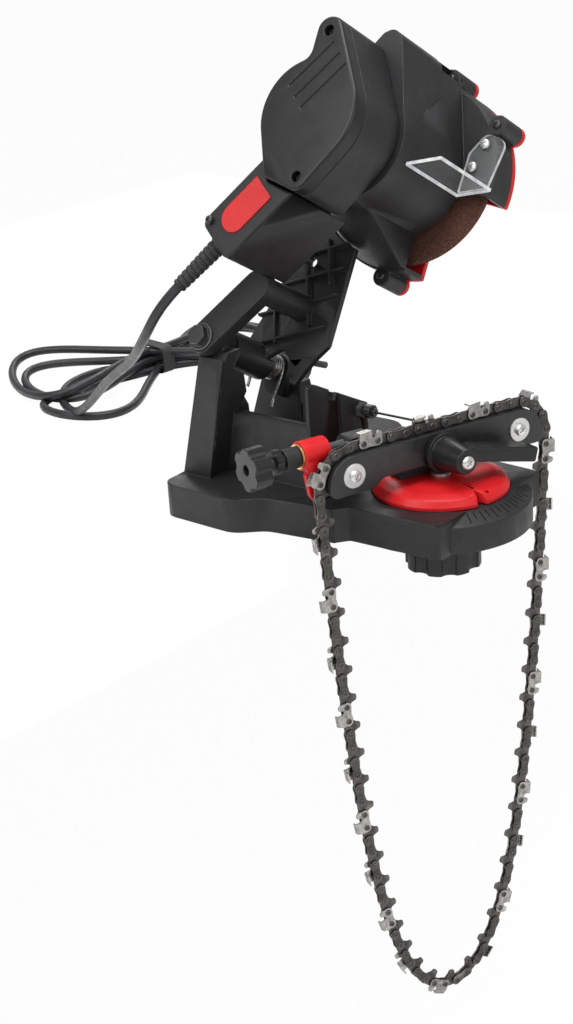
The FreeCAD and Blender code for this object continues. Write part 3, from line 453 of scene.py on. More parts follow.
# the guard screws wear the black coat in place of zinc: painted shade for the recesses in the guard
# that they sit in
OWN_FINISH = {"label_plate": "label", "return_spring": "spring", "guard_screws": "black_steel"}
POLISHED = (
    "motor_end_cap", "clamp_lever", "stop_knob", "stop_lock_nut", "angle_lock_knob",
    "switch_rocker",
)


def finish_of(node):
    """Finish that a CAD node wears."""
    if node in POLISHED:
        return FINISH["smooth_black"]
    return FINISH[OWN_FINISH.get(node, SLOT_OF[node])]


def wear(obj, finish):
    """Object with a finish as its only one."""
    obj.data.materials.clear()
    obj.data.materials.append(finish)
    return obj


# ------------ mesh helpers
WELD = 2e-6  # CAD vertices closer than this are one
FLAT = math.radians(0.05)  # neighbours closer than this to one plane are one face


def piece_from(name, mesh_data):
    """New object in the scene from a finished mesh."""
    obj = bpy.data.objects.new(name, mesh_data)
    bpy.context.scene.collection.objects.link(obj)
    return obj


def mesh_from(name, work):
    """Mesh from a bmesh, which is freed."""
    made = bpy.data.meshes.new(name)
    work.to_mesh(made)
    work.free()
    return made


def baked(obj):
    """Plain mesh of an object with its modifiers applied; the object goes."""
    bpy.context.view_layer.update()
    ready = obj.evaluated_get(bpy.context.evaluated_depsgraph_get())
    made = bpy.data.meshes.new_from_object(ready)
    bpy.data.objects.remove(obj)
    return made


def joined(node):
    """Bmesh of a CAD node with its loose triangles joined."""
    work = bmesh.new()
    work.from_mesh(NODES[node].data)
    bmesh.ops.remove_doubles(work, verts=work.verts, dist=WELD)
    return work


def merged_copy(node, name, whole=True):
    """Joined copy of a CAD node's mesh, with its flat faces made whole."""
    work = joined(node)
    if whole:
        bmesh.ops.dissolve_limit(work, angle_limit=FLAT, verts=work.verts, edges=work.edges)
    return mesh_from(name, work)


def smooth(mesh_data, degrees):
    """Smooth shading, kept crisp where faces meet at more than an angle."""
    mesh_data.shade_smooth()
    mesh_data.set_sharp_from_angle(angle=math.radians(degrees))


def block(size, middle, matrix=Matrix()):
    """Box of a size about a middle, then placed."""
    work = bmesh.new()
    bmesh.ops.create_cube(work, size=1.0)
    bmesh.ops.scale(work, vec=size, verts=work.verts)
    bmesh.ops.transform(work, matrix=matrix @ shift(*middle), verts=work.verts)
    return work


def ring(work, radius, height, steps):
    """Circle of vertices about Z, or the one vertex on it."""
    if not radius:
        return [work.verts.new((0.0, 0.0, height))]
    turns = [math.tau * i / steps for i in range(steps)]
    return [work.verts.new((radius * math.cos(a), radius * math.sin(a), height)) for a in turns]


def bridge(work, one, other):
    """Faces between two rings of vertices."""
    steps = max(len(one), len(other))
    for i in range(steps):
        j = (i + 1) % steps
        corners = [line[k % len(line)] for line, k in ((one, i), (one, j), (other, j), (other, i))]
        work.faces.new(list(dict.fromkeys(corners)))


def lathe(profile, steps):
    """Closed body turned about Z from (radius, height) points, both ends on the axis."""
    work = bmesh.new()
    rings = [ring(work, radius, height, steps) for radius, height in profile]
    for one, other in zip(rings, rings[1:]):
        bridge(work, one, other)
    bmesh.ops.recalc_face_normals(work, faces=work.faces)
    return work


def slab(outline, thickness, lift):
    """Flat plate from an outline in XY, from a height up."""
    work = bmesh.new()
    face = work.faces.new([work.verts.new((x, y, lift)) for x, y in outline])
    lifted = bmesh.ops.extrude_face_region(work, geom=[face])["geom"]
    verts = [part for part in lifted if isinstance(part, bmesh.types.BMVert)]
    bmesh.ops.translate(work, vec=(0.0, 0.0, thickness), verts=verts)
    bmesh.ops.recalc_face_normals(work, faces=work.faces)
    return work


def ease(work, width, sharper_than=30.0):
    """Small chamfer along the sharp edges of a bmesh."""
    keen = math.radians(sharper_than)
    edges = [e for e in work.edges if e.is_manifold and e.calc_face_angle(0.0) > keen]
    bmesh.ops.bevel(work, geom=edges, offset=width, segments=1, affect="EDGES", profile=0.5)
    return work


def arc(x, y, radius, start, end, count):
    """Points along an arc in XY, in degrees."""
    turns = [math.radians(start + (end - start) * i / (count - 1)) for i in range(count)]
    return [(x + radius * math.cos(a), y + radius * math.sin(a)) for a in turns]


def join(*works):
    """One bmesh of several, which are freed."""
    whole = works[0]
    for work in works[1:]:
        scratch = mesh_from("scratch", work)
        whole.from_mesh(scratch)
        bpy.data.meshes.remove(scratch)
    return whole


def corners_of(node):
    """Corner points of each separate solid of a CAD node, in the same order on every run."""
    work = joined(node)
    unseen = set(work.verts)
    solids = []
    for start in work.verts:
        if start not in unseen:
            continue
        unseen.remove(start)
        reached = [start]
        for vert in reached:
            for edge in vert.link_edges:
                other = edge.other_vert(vert)
                if other in unseen:
                    unseen.remove(other)
                    reached.append(other)
        solids.append([vert.co.copy() for vert in reached])
    work.free()
    return solids


def middle_of(corners):
    """Middle of the box round some points."""
    return Vector([(min(column) + max(column)) / 2.0 for column in zip(*corners)])


def solids_of(node):
    """Middle of each separate solid of a CAD node."""
    return [middle_of(corners) for corners in corners_of(node)]


# ------------ geometry nodes
# name and kind of each input
INPUTS = (
    ("Geometry", "Geometry"), ("Pattern", "Object"), ("Scale", "Float"), ("Material", "Material"),
)


def copies_tree():
    """Tree that puts one pattern on every seat, its X along and its Z across."""
    tree = bpy.data.node_groups.new("seated_copies", "GeometryNodeTree")
    tree.interface.new_socket("Geometry", in_out="OUTPUT", socket_type="NodeSocketGeometry")
    for name, kind in INPUTS:
        tree.interface.new_socket(name, in_out="INPUT", socket_type="NodeSocket" + kind)
    given = tree.nodes.new("NodeGroupInput").outputs

    def add(kind, **inputs):
        node = tree.nodes.new(kind)
        for name, socket in inputs.items():
            tree.links.new(socket, node.inputs[name])
        return node.outputs

    axes = tree.nodes.new("FunctionNodeAxesToRotation")
    axes.primary_axis, axes.secondary_axis = "Z", "X"
    for name, socket in zip(("across", "along"), axes.inputs):
        node = tree.nodes.new("GeometryNodeInputNamedAttribute")
        node.data_type = "FLOAT_VECTOR"
        node.inputs["Name"].default_value = name
        tree.links.new(node.outputs["Attribute"], socket)
    shape = add("GeometryNodeObjectInfo", Object=given["Pattern"])["Geometry"]
    spread = add(
        "GeometryNodeInstanceOnPoints", Points=given["Geometry"], Instance=shape,
        Rotation=axes.outputs[0], Scale=given["Scale"],
    )["Instances"]
    real = add("GeometryNodeRealizeInstances", Geometry=spread)["Geometry"]
    painted = add("GeometryNodeSetMaterial", Geometry=real, Material=given["Material"])["Geometry"]
    tree.links.new(painted, tree.nodes.new("NodeGroupOutput").inputs["Geometry"])
    return tree


def seats_mesh(seats):
    """Points with the two directions that a copy is turned by: (place, along, across) for each."""
    made = bpy.data.meshes.new("seats")
    made.from_pydata([place for place, _, _ in seats], [], [])
    for name, column in (("along", 1), ("across", 2)):
        attribute = made.attributes.new(name, "FLOAT_VECTOR", "POINT")
        for i, seat in enumerate(seats):
            attribute.data[i].vector = seat[column]
    return made


def copies(name, pattern, seats, finish, body, crisp=35.0):
    """One piece of many copies of a pattern, riding on a body."""
    shape = piece_from(name + "_pattern", mesh_from(name + "_pattern", pattern))
    seed = piece_from(name + "_seed", seats_mesh(seats))
    recipe = seed.modifiers.new("recipe", "NODES")
    recipe.node_group = copies_tree()
    values = {"Pattern": shape, "Scale": 1.0, "Material": finish}
    for socket in recipe.node_group.interface.items_tree:
        if socket.name in values:
            recipe[socket.identifier] = values[socket.name]
    grown = baked(seed)
    grown.name = name
    bpy.data.objects.remove(shape)
    made = piece_from(name, grown)
    smooth(grown, crisp)
    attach(made, body)
    return made


# ------------ mouldings and finishes
MOULDINGS = (
    "base_housing", "turntable_disc", "vise_block", "rail_front_plate", "rail_rear_plate",
    "clamp_lever", "stop_bracket", "stop_sleeve", "stop_knob", "stop_lock_nut", "chain_stop",
    "angle_lock_knob", "motor_end_cap", "motor_housing", "handle_housing", "guard_housing",
    "wheel_cover", "arm_web", "arm_bar", "label_plate", "switch_rocker", "hinge_bolt", "hinge_nut",
    "strain_relief", "mains_plug",
)
# flat faces made whole first or not, and share of the wanted width, from the best on
ROUNDINGS = ((True, 1.0), (False, 1.0), (True, 0.5), (False, 0.5), (True, 0.25))
ROUND_PAST = 35.0  # edges sharper than this many degrees are rounded
CRISP_PAST = 30.0  # and shading is crisp past this many
FOLD = 3.5  # a vertex further than this many widths from the skin is part of a fold
STRAY = 0.5  # a vertex further than this many widths from it goes back to the skin
HOLE = 0.005  # share of the area that may be missing
NECK_SIZE = (0.013, 0.034, 0.030)
NECK_MIDDLE = (0.0385, 0.0, 0.106)


def sound(shape, skin, reach):
    """True if the faces of a mesh are all whole and its vertices stay within reach of a surface."""
    shape.calc_loop_triangles()
    drawn = sum(triangle.area for triangle in shape.loop_triangles)
    meant = sum(face.area for face in shape.polygons)
    astray = max(skin.find_nearest(vert.co)[3] for vert in shape.vertices)
    return abs(drawn - meant) < HOLE * meant and astray < reach


def rounded(node, width):
    """Copy of a CAD node with its edges rounded, as wide as leaves no fold or hole in it."""
    name = "soft_" + node
    for whole, share in ROUNDINGS:
        made = piece_from(name, merged_copy(node, name, whole))
        smooth(made.data, CRISP_PAST)
        faces = [face.vertices for face in made.data.polygons]
        skin = BVHTree.FromPolygons([vert.co for vert in made.data.vertices], faces)
        rounding = made.modifiers.new("edge_round", "BEVEL")
        rounding.segments = 2
        rounding.limit_method = "ANGLE"
        rounding.angle_limit = math.radians(ROUND_PAST)
        rounding.use_clamp_overlap = False
        rounding.harden_normals = True
        rounding.width = width * share
        shape = baked(made)
        if sound(shape, skin, FOLD * width * share):
            break
    shape.name = name
    for vert in shape.vertices:
        nearest, _, _, astray = skin.find_nearest(vert.co)
        if astray > STRAY * width:
            vert.co = nearest
    return wear(piece_from(name, shape), finish_of(node))


class SHARPENER_OT_finishes(bpy.types.Operator):
    """Mix every finish and put it on the CAD nodes"""

    bl_idname = "sharpener.finishes"
    bl_label = "Finishes"

    def execute(self, context):
        tones = context.scene.sharpener_finishes
        FINISH.update({
            "black_plastic": black_moulding(tones.black),
            "smooth_black": smooth_black(tones.black),
            "red_plastic": red_moulding(tones.red),
            "label": label_film(tones.label),
            "black_steel": coated_steel(tones.coated),
            "zinc_steel": zinc_plate(tones.zinc),
            "dark_steel": oiled_steel(tones.oiled),
            "cutter_chrome": cutter_plate(tones.cutter),
            "spring": spring_steel(tones.spring),
            "brass_washer": brass(tones.brass),
            "wheel_grit": abrasive(tones.abrasive),
            "clear_plastic": clear_plastic(tones.clear),
            "frosted_edge": frosted_edge(tones.clear),
            "scale_ink": scale_ink(tones.black),
            "black_rubber": rubber(tones.rubber),
            "black_cord": cord_sheath(tones.sheath),
        })
        for name, node in NODES.items():
            wear(node, finish_of(name))
        return {"FINISHED"}


class SHARPENER_OT_mouldings(bpy.types.Operator):
    """Round the edges of the moulded and pressed parts, and close the neck of the handle"""

    bl_idname = "sharpener.mouldings"
    bl_label = "Mouldings"

    def execute(self, context):
        for node in MOULDINGS:
            made = rounded(node, context.scene.sharpener_sizes.edge_round)
            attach(made, BODY_OF[node])
            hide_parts(node)
        shape = mesh_from("handle_neck", block(NECK_SIZE, NECK_MIDDLE, HANDLE))
        neck = wear(piece_from("handle_neck", shape), FINISH["black_plastic"])
        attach(neck, BODY_OF["handle_housing"])
        return {"FINISHED"}


# ------------ saw chain
PITCH = 0.009525  # from rivet to rivet
HALF = PITCH / 2.0
END = 0.0032  # radius of a side plate round its rivet
DRIVE_END = 0.0029  # and of a drive link
WAIST_EDGE = 0.0025  # from the line of rivets to the waist of a plate
GAP = 0.00075  # from the middle of the chain to the inside of a side plate
CHAMFER = 0.00016
# lower edge of a drive link with its hooked tang, from the back to the front
TANG = (
    (-0.0036, -0.0042), (-0.0028, -0.0076), (-0.0012, -0.0082), (0.0008, -0.0080),
    (0.0018, -0.0058), (0.0038, -0.0040),
)
# upper edge of a cutter from the front: depth gauge, gullet and cheek
CHEEK = (
    (0.0079, 0.0032), (0.0072, 0.0054), (0.0058, 0.0059), (0.0044, 0.0056), (0.0038, 0.0036),
    (0.0026, 0.0022), (0.0014, 0.0026), (0.0010, 0.0044), (0.0012, 0.0068), (-0.0064, 0.0064),
    (-0.0074, 0.0040),
)
TOP_PLATE = ((-0.0066, 0.0056), (0.0012, 0.0060), (0.0013, 0.0070), (-0.0064, 0.0066))
TOP_WIDTH = 0.0040
TOP_SKEW = 0.0012  # how far the top plate's free side stands back
RIVET_HALF = 0.0025


def chain_run():
    """Rivets in order round the chain, starting where a pair of side plates starts."""
    spots = solids_of("chain_rivets")
    run = [spots.pop(0)]
    while spots:
        nearest = min(spots, key=lambda spot: (spot - run[-1]).length)
        spots.remove(nearest)
        run.append(nearest)
    middle = sum(run, Vector()) / len(run)
    sense = sum((a - middle).cross(b - middle).dot(VISE_FACE) for a, b in zip(run, run[1:]))
    if sense > 0.0:
        run.reverse()
    plates = solids_of("tie_straps")

    def off(first):
        half = (run[first] + run[first + 1]) / 2.0
        return min((plate - half).length for plate in plates)

    return run if off(0) < off(1) else run[1:] + run[:1]


def link_seats(run, first):
    """Seats of every second link of the run, from its first or second rivet."""
    seats = []
    for i in range(first, len(run), 2):
        one, other = run[i], run[(i + 1) % len(run)]
        seats.append(((one + other) / 2.0, (other - one).normalized(), VISE_FACE))
    return seats


def nearest_seat(seats, spot):
    return min(range(len(seats)), key=lambda i: (seats[i][0] - spot).length)


def side_plate(thickness, lift):
    """Side plate with round ends and a drawn-in waist."""
    outline = arc(HALF, 0.0, END, -100.0, 100.0, 8) + [(0.0, WAIST_EDGE)]
    outline += arc(-HALF, 0.0, END, 80.0, 280.0, 8) + [(0.0, -WAIST_EDGE)]
    return ease(slab(outline, thickness, lift), CHAMFER)


def drive_link(thickness):
    """Drive link with its hooked tang."""
    outline = arc(HALF, 0.0, DRIVE_END, -70.0, 100.0, 6) + [(0.0, 0.0030)]
    outline += arc(-HALF, 0.0, DRIVE_END, 80.0, 250.0, 6) + list(TANG)
    return ease(slab(outline, thickness, -thickness / 2.0), CHAMFER)


def cutter(thickness, side):
    """Cutting link: cheek with its depth gauge, gullet, and the top plate bent over the chain."""
    outline = arc(HALF, 0.0, END, -100.0, 20.0, 5) + list(CHEEK)
    outline += arc(-HALF, 0.0, END, 150.0, 280.0, 6) + [(0.0, -WAIST_EDGE)]
    cheek = slab(outline, thickness, GAP)
    roof = slab(TOP_PLATE, TOP_WIDTH, GAP + thickness - TOP_WIDTH)
    for vert in roof.verts:
        if vert.co.z < GAP:
            vert.co.x -= TOP_SKEW
    whole = join(ease(cheek, CHAMFER), ease(roof, CHAMFER))
    if side < 0:
        bmesh.ops.scale(whole, vec=(1.0, 1.0, -1.0), verts=whole.verts)
        bmesh.ops.recalc_face_normals(whole, faces=whole.faces)
    return whole


def rivet(radius):
    """Rivet with two peened heads, each with a shallow dimple."""
    head = [
        (0.0, RIVET_HALF - 0.0002), (radius * 0.45, RIVET_HALF),
        (radius * 0.9, RIVET_HALF - 0.0001), (radius, RIVET_HALF - 0.0005),
    ]
    return lathe([(x, -z) for x, z in head] + head[::-1], 10)


class SHARPENER_OT_chain(bpy.types.Operator):
    """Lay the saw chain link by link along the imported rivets"""

    bl_idname = "sharpener.chain"
    bl_label = "Saw chain"

    def execute(self, context):
        sizes = context.scene.sharpener_sizes
        thick = sizes.plate_thick
        run = chain_run()
        plates = link_seats(run, 0)
        near = {nearest_seat(plates, spot) for spot in solids_of("cutters_near")}
        far = {nearest_seat(plates, spot) for spot in solids_of("cutters_far")}
        near_plates = [seat for i, seat in enumerate(plates) if i not in near]
        far_plates = [seat for i, seat in enumerate(plates) if i not in far]
        near_cutters = [plates[i] for i in sorted(near)]
        far_cutters = [plates[i] for i in sorted(far)]
        drives = link_seats(run, 1)
        pins = [(spot, Vector((0.0, 0.0, 1.0)), VISE_FACE) for spot in run]
        near_plate, far_plate = side_plate(thick, GAP), side_plate(thick, -GAP - thick)
        steel, chrome = "dark_steel", "cutter_chrome"
        # piece, its pattern, its seats, its slot, the CAD node that it stands for
        pieces = (
            ("chain_drive_links", drive_link(sizes.drive_thick), drives, steel, "drive_links"),
            ("chain_near_plates", near_plate, near_plates, steel, "tie_straps"),
            ("chain_far_plates", far_plate, far_plates, steel, None),
            ("chain_near_cutters", cutter(thick, 1), near_cutters, chrome, "cutters_near"),
            ("chain_far_cutters", cutter(thick, -1), far_cutters, chrome, "cutters_far"),
            ("chain_pins", rivet(sizes.rivet_radius), pins, steel, "chain_rivets"),
        )
        for name, pattern, seats, slot, node in pieces:
            made = copies(name, pattern, seats, FINISH[slot], "turntable")
            if node:
                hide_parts(node)
        return {"FINISHED"}


# ------------ screws
# node, way its heads face, head radius, head height, washer radius
SCREWS = (
    ("rail_screws", VISE_FACE, 0.0036, 0.0020, 0.0072),
    ("lever_screw", VISE_FACE, 0.0040, 0.0020, 0.0),
    ("cap_screws", HEAD_FACE, 0.0027, 0.0018, 0.0),
    ("handle_screw", HEAD_FACE, 0.0024, 0.0014, 0.0),
    ("guard_screws", HEAD_FACE, 0.0026, 0.0015, 0.0),
    ("shield_screws", HEAD_FACE, 0.0030, 0.0018, 0.0),
)
STEPS_ROUND = 24
WASHER_THICK, WASHER_EDGE = 0.001, 0.0002
RIM = 0.0003  # corners this near to the top of a screw belong to its head
FIRST_TWIST, NEXT_TWIST = 0.7, 1.9  # radians: no two recesses of a group line up


def cross_head(radius, height, washer, reach):
    """Screw that faces up Z, its top at zero: domed head with a cross recess, washer and shank."""
    work = bmesh.new()
    arm, half = 0.52 * radius, 0.13 * radius
    quarter = [(arm, -half), (arm, half), (half, half)]
    cross = []
    for _ in range(4):
        cross += quarter
        quarter = [(-y, x) for x, y in quarter]
    mouth = [work.verts.new((x, y, 0.0)) for x, y in cross]
    pit = [work.verts.new((0.7 * x, 0.7 * y, -0.55 * height)) for x, y in cross]
    bridge(work, mouth, pit)
    work.faces.new(pit)
    brow = ring(work, 0.72 * radius, -0.04 * height, STEPS_ROUND)
    edges = [work.edges.new((brow[i - 1], brow[i])) for i in range(len(brow))]
    edges += [work.edges.get((mouth[i - 1], mouth[i])) for i in range(len(mouth))]
    bmesh.ops.triangle_fill(work, edges=edges, use_beauty=True)
    profile = [(0.90 * radius, -0.20 * height), (radius, -0.48 * height), (radius, -height)]
    if washer:
        profile += [
            (washer - WASHER_EDGE, -height), (washer, -height - WASHER_EDGE),
            (washer, -height - WASHER_THICK),
        ]
    foot = profile[-1][1]
    profile += [(0.55 * radius, foot), (0.55 * radius, -reach), (0.0, -reach)]
    last = brow
    for distance, lift in profile:
        following = ring(work, distance, lift, STEPS_ROUND)
        bridge(work, last, following)
        last = following
    bmesh.ops.recalc_face_normals(work, faces=work.faces)
    return work


class SHARPENER_OT_screws(bpy.types.Operator):
    """Turn every screw with its domed head, recess and washer"""

    bl_idname = "sharpener.screws"
    bl_label = "Screws"

    def execute(self, context):
        head_across = HEAD.to_3x3() @ Vector((1.0, 0.0, 0.0))
        for node, face, radius, height, washer in SCREWS:
            across = head_across if face is HEAD_FACE else Vector((0.0, 0.0, 1.0))
            seats = []
            for corners in corners_of(node):
                heights = [corner.dot(face) for corner in corners]
                top, reach = max(heights), max(heights) - min(heights)
                rim = [corner for corner in corners if corner.dot(face) > top - RIM]
                twist = Matrix.Rotation(FIRST_TWIST + NEXT_TWIST * len(seats), 3, face)
                seats.append((sum(rim, Vector()) / len(rim), twist @ across, face))
            made = copies(
                "cross_" + node, cross_head(radius, height, washer, reach), seats, finish_of(node),
                BODY_OF[node], 40.0,
            )
            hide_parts(node)
        return {"FINISHED"}


# ------------ angle scale
SWEEP = 35.0  # degrees that the scale goes each way
DOWN = Vector((0.919, 0.0, -0.394))  # down the cone of the collar, away from the bolt
OUT = Vector((0.394, 0.0, 0.919))  # straight out of the cone
LINES_FROM = Vector((0.0425, 0.0, 0.0205)) + DOWN * 0.0012
# piece, first of its lines, their length
LINES = (("scale_long_lines", 0, 0.0078), ("scale_short_lines", 1, 0.0052))
LINE_THICK, LINE_SUNK = 0.00022, 0.00012


class SHARPENER_OT_scale(bpy.types.Operator):
    """Cut the lines of the angle scale into the collar under the turntable"""

    bl_idname = "sharpener.scale"
    bl_label = "Angle scale"

    def execute(self, context):
        sizes = context.scene.sharpener_sizes
        step = 2.0 * SWEEP / (sizes.tick_count - 1)
        side = sizes.tick_width / 2.0
        for name, first, long in LINES:
            end = long / 2.0
            seats = []
            for i in range(first, sizes.tick_count, 2):
                around = TURNTABLE @ turn(-SWEEP + step * i, "Z")
                facing = around.to_3x3()
                seats.append((around @ (LINES_FROM + DOWN * end), facing @ DOWN, facing @ OUT))
            outline = [(-end, -side), (end, -side), (end, side), (-end, side)]
            line = slab(outline, LINE_THICK, -LINE_SUNK)
            copies(name, line, seats, FINISH["scale_ink"], "base")
        return {"FINISHED"}


# ------------ eye shield
CUT_EDGE = 0.0026  # faces that are narrower than this, for their spread, are the sheet's cut edges


class SHARPENER_OT_shield(bpy.types.Operator):
    """Give the clear shield its pale cut edges"""

    bl_idname = "sharpener.shield"
    bl_label = "Eye shield"

    def execute(self, context):
        shape = merged_copy("eye_shield", "clear_shield")
        made = wear(piece_from("clear_shield", shape), FINISH["clear_plastic"])
        shape.materials.append(FINISH["frosted_edge"])
        for face in shape.polygons:
            reaches = [(shape.vertices[i].co - face.center).length for i in face.vertices]
            if face.area < CUT_EDGE * 2.0 * sum(reaches) / len(reaches):
                face.material_index = 1
        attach(made, BODY_OF["eye_shield"])
        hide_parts("eye_shield")
        return {"FINISHED"}


# ------------ mains cord
# down from the handle, the first of them where the cord leaves it
LEAD = (
    (-0.0812, -0.0714, 0.1423), (-0.0910, -0.0776, 0.1314), (-0.1091, -0.0768, 0.1075),
    (-0.1470, -0.0500, 0.0820), (-0.1920, -0.0290, 0.0570), (-0.2310, -0.0040, 0.0340),
    (-0.2640, 0.0120, 0.0120),
)
# along the bench to the hank
LANDING = (
    (-0.2850, 0.0200, 0.0035), (-0.3140, 0.0360, 0.0032), (-0.3380, 0.0640, 0.0032),
    (-0.3420, 0.0960, 0.0032), (-0.3300, 0.1180, 0.0032),
)
TIED_AT = Vector((-0.312, 0.133, 0.0))
LAYER = 0.0062
FIRST_LAYER = 0.0031  # height of the lowest turns
# heading in degrees, length, half width, first layer, last layer, how far the far end droops,
# offset at the tie
LOBES = (
    (85.0, 0.118, 0.052, 0.0, 0.0, 0.0, 0.0),
    (279.0, 0.120, 0.036, 0.0, 0.0, 0.0, 0.0066),
    (76.0, 0.103, 0.040, 0.0, 1.0, 0.0, 0.0066),
    (252.0, 0.100, 0.047, 1.0, 1.0, 0.9, 0.0),
    (66.0, 0.092, 0.0352, 1.0, 2.0, 0.0, 0.0),
    (244.0, 0.106, 0.057, 2.0, 2.0, 1.9, -0.002),
)
LOBE_POINTS = 14
FULLNESS = 1.12  # the line runs inside its points, so they stand this much wider
# off the hank to the plug
TAIL = (
    (-0.296, 0.136, 0.0156), (-0.276, 0.142, 0.0170), (-0.258, 0.148, 0.0182),
    (-0.246, 0.150, 0.0182),
)


def lobe(heading, reach, half_width, first, last, droop, side):
    """Points of one loop of the hank, out from the tie and back."""
    along = Vector((math.cos(math.radians(heading)), math.sin(math.radians(heading)), 0.0))
    across = Vector((-along.y, along.x, 0.0))
    if heading > 180.0:
        across = -across
    points = []
    for i in range(LOBE_POINTS):
        t = (i + 0.5) / LOBE_POINTS
        out = math.sin(math.pi * t)
        spread = FULLNESS * half_width * math.sin(2.0 * math.pi * t) * math.sqrt(out)
        layer = first + (last - first) * t - droop * out**6
        lift = Vector((side, 0.0, FIRST_LAYER + LAYER * layer))
        points.append(TIED_AT + along * reach * out - across * spread + lift)
    return points


def cord_route():
    """Every point that the cord is drawn by, from the handle to the plug."""
    points = [Vector(spot) for spot in LEAD + LANDING]
    for row in LOBES:
        points.extend(lobe(*row))
    return points + [Vector(spot) for spot in TAIL]


def cord_line(route):
    """Smooth curve along a route, with no thickness yet."""
    line = bpy.data.curves.new("cord_line", "CURVE")
    line.dimensions = "3D"
    spline = line.splines.new("NURBS")
    spline.points.add(len(route) - 1)
    for point, spot in zip(spline.points, route):
        point.co = (*spot, 1.0)
    spline.order_u = 3
    spline.use_endpoint_u = True
    line.resolution_u = 8
    return line


def mesh_of(line):
    """Mesh of a curve as it stands."""
    holder = bpy.data.objects.new("holder", line)
    bpy.context.scene.collection.objects.link(holder)
    return baked(holder)


class SHARPENER_OT_cord(bpy.types.Operator):
    """Run the mains cord from the handle to its tied hank and plug"""

    bl_idname = "sharpener.cord"
    bl_label = "Mains cord"

    def execute(self, context):
        diameter = context.scene.sharpener_sizes.cord_diameter
        line = cord_line(cord_route())
        thread = mesh_of(line)
        bpy.data.meshes.remove(thread)
        line.bevel_depth = diameter / 2.0
        line.bevel_resolution = 4
        line.use_fill_caps = True
        cord = wear(piece_from("mains_cord", mesh_of(line)), FINISH["black_cord"])
        cord.data.shade_smooth()
        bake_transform(cord)
        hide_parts("cord_lead", "cord_hank")
        return {"FINISHED"}


# ------------ studio
BENCH_LONG, BENCH_WIDE, BENCH_MIDDLE = 0.80, 1.30, 0.05  # along X, along Y, its middle in Y
FLOOR_HALF = 9.0
SKY_LIGHT, SKY_SEEN = 0.50, 1.0  # strength on the pieces, and where the sky itself is seen
# name, place, size in metres, setting that holds its power
LAMPS = (
    ("key", (-0.35, -1.1, 1.15), 0.9, "key_power"),
    ("top", (0.15, -0.05, 1.5), 0.9, "top_power"),
    ("fill", (1.3, -0.5, 0.7), 1.0, "fill_power"),
    ("rim", (-0.9, 0.9, 1.0), 0.8, "fill_power"),
)
LAMPS_AIM = Vector((0.0, 0.0, 0.12))
CAMERA_AT = Vector((0.6487, -0.8188, 0.4121))
CAMERA_ROUND, CAMERA_DOWN, CAMERA_ROLL = 41.397, 21.614, -3.68  # degrees


def soft_lamp(name, place, size, power):
    """Square soft light that points at the middle of the tool."""
    lamp = bpy.data.lights.new(name, "AREA")
    lamp.size = size
    lamp.energy = power
    obj = bpy.data.objects.new(name, lamp)
    obj.location = place
    obj.rotation_euler = (LAMPS_AIM - Vector(place)).to_track_quat("-Z", "Y").to_euler()
    bpy.context.scene.collection.objects.link(obj)


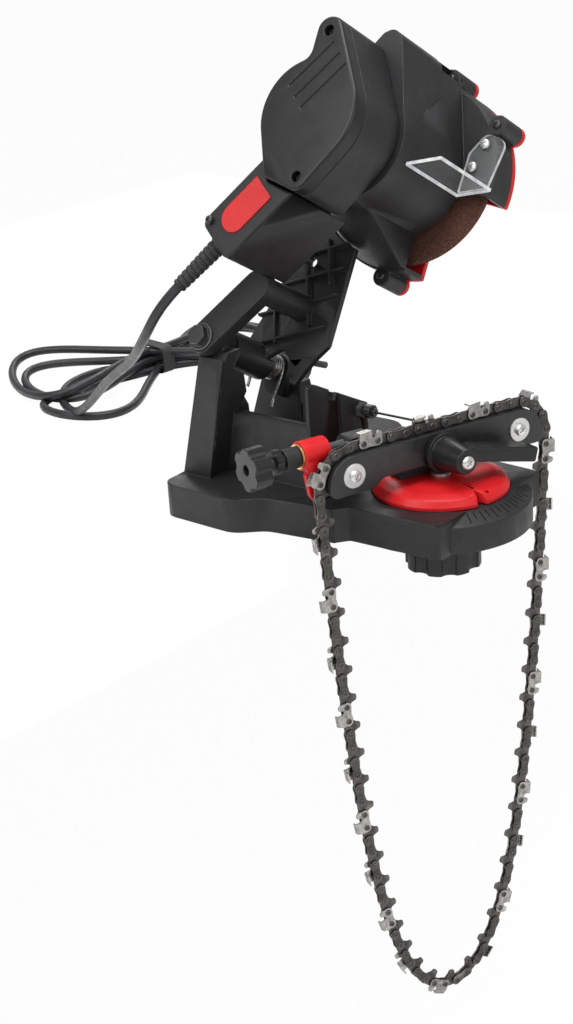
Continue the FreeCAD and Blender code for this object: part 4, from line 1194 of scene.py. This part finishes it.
class SHARPENER_OT_studio(bpy.types.Operator):
    """Set up the bench edge, floor, lights and camera"""

    bl_idname = "sharpener.studio"
    bl_label = "Studio"

    def execute(self, context):
        scene, studio = context.scene, context.scene.sharpener_studio
        scene.view_settings.view_transform = "Standard"
        white = paper(studio.paper)
        size = (BENCH_LONG, BENCH_WIDE, studio.board)
        middle = (studio.edge - BENCH_LONG / 2.0, BENCH_MIDDLE, -studio.board / 2.0)
        bench = wear(piece_from("bench", mesh_from("bench", block(size, middle))), white)
        work = bmesh.new()
        bmesh.ops.create_grid(work, x_segments=1, y_segments=1, size=FLOOR_HALF)
        bmesh.ops.translate(work, vec=(0.0, 0.0, -studio.drop), verts=work.verts)
        floor = wear(piece_from("floor", mesh_from("floor", work)), white)
        scene.world = bpy.data.worlds.new("studio")
        scene.world.use_nodes = True
        tree = scene.world.node_tree
        sky = tree.nodes["Background"]
        sky.inputs["Color"].default_value = (1.0, 1.0, 1.0, 1.0)
        level = tree.nodes.new("ShaderNodeMapRange")
        level.inputs["To Min"].default_value = SKY_LIGHT
        level.inputs["To Max"].default_value = SKY_SEEN
        tree.links.new(seen_directly(tree), level.inputs["Value"])
        tree.links.new(level.outputs["Result"], sky.inputs["Strength"])
        for name, place, size, setting in LAMPS:
            soft_lamp(name, place, size, getattr(studio, setting))
        lens = bpy.data.cameras.new("camera")
        lens.lens = studio.lens
        lens.sensor_width = 36.0
        lens.clip_start = 0.01
        camera = bpy.data.objects.new("camera", lens)
        facing = turn(CAMERA_ROUND, "Z") @ turn(90.0 - CAMERA_DOWN, "X") @ turn(CAMERA_ROLL, "Z")
        camera.matrix_world = Matrix.Translation(CAMERA_AT) @ facing
        scene.collection.objects.link(camera)
        scene.camera = camera
        return {"FINISHED"}


# ------------ panel and registration
STEPS = ("finishes", "mouldings", "chain", "screws", "scale", "shield", "cord", "studio")


class SHARPENER_PT_dressing(bpy.types.Panel):
    """Steps of the dressing, in order"""

    bl_label = "Chain sharpener"
    bl_space_type = "VIEW_3D"
    bl_region_type = "UI"
    bl_category = "Sharpener"

    def draw(self, context):
        for group in ("sharpener_finishes", "sharpener_sizes", "sharpener_studio"):
            settings = getattr(context.scene, group)
            box = self.layout.box()
            for name in settings.__annotations__:
                box.prop(settings, name)
        for step in STEPS:
            self.layout.operator("sharpener." + step)


CLASSES = (
    SharpenerFinishes, SharpenerSizes, SharpenerStudio, SHARPENER_OT_finishes,
    SHARPENER_OT_mouldings, SHARPENER_OT_chain, SHARPENER_OT_screws, SHARPENER_OT_scale,
    SHARPENER_OT_shield, SHARPENER_OT_cord, SHARPENER_OT_studio, SHARPENER_PT_dressing,
)


def register():
    for made in CLASSES:
        bpy.utils.register_class(made)
    bpy.types.Scene.sharpener_finishes = PointerProperty(type=SharpenerFinishes)
    bpy.types.Scene.sharpener_sizes = PointerProperty(type=SharpenerSizes)
    bpy.types.Scene.sharpener_studio = PointerProperty(type=SharpenerStudio)


def unregister():
    del bpy.types.Scene.sharpener_studio
    del bpy.types.Scene.sharpener_sizes
    del bpy.types.Scene.sharpener_finishes
    for made in reversed(CLASSES):
        bpy.utils.unregister_class(made)


def main():
    register()
    for step in STEPS:
        getattr(bpy.ops.sharpener, step)()


if __name__ == "__main__":
    main()
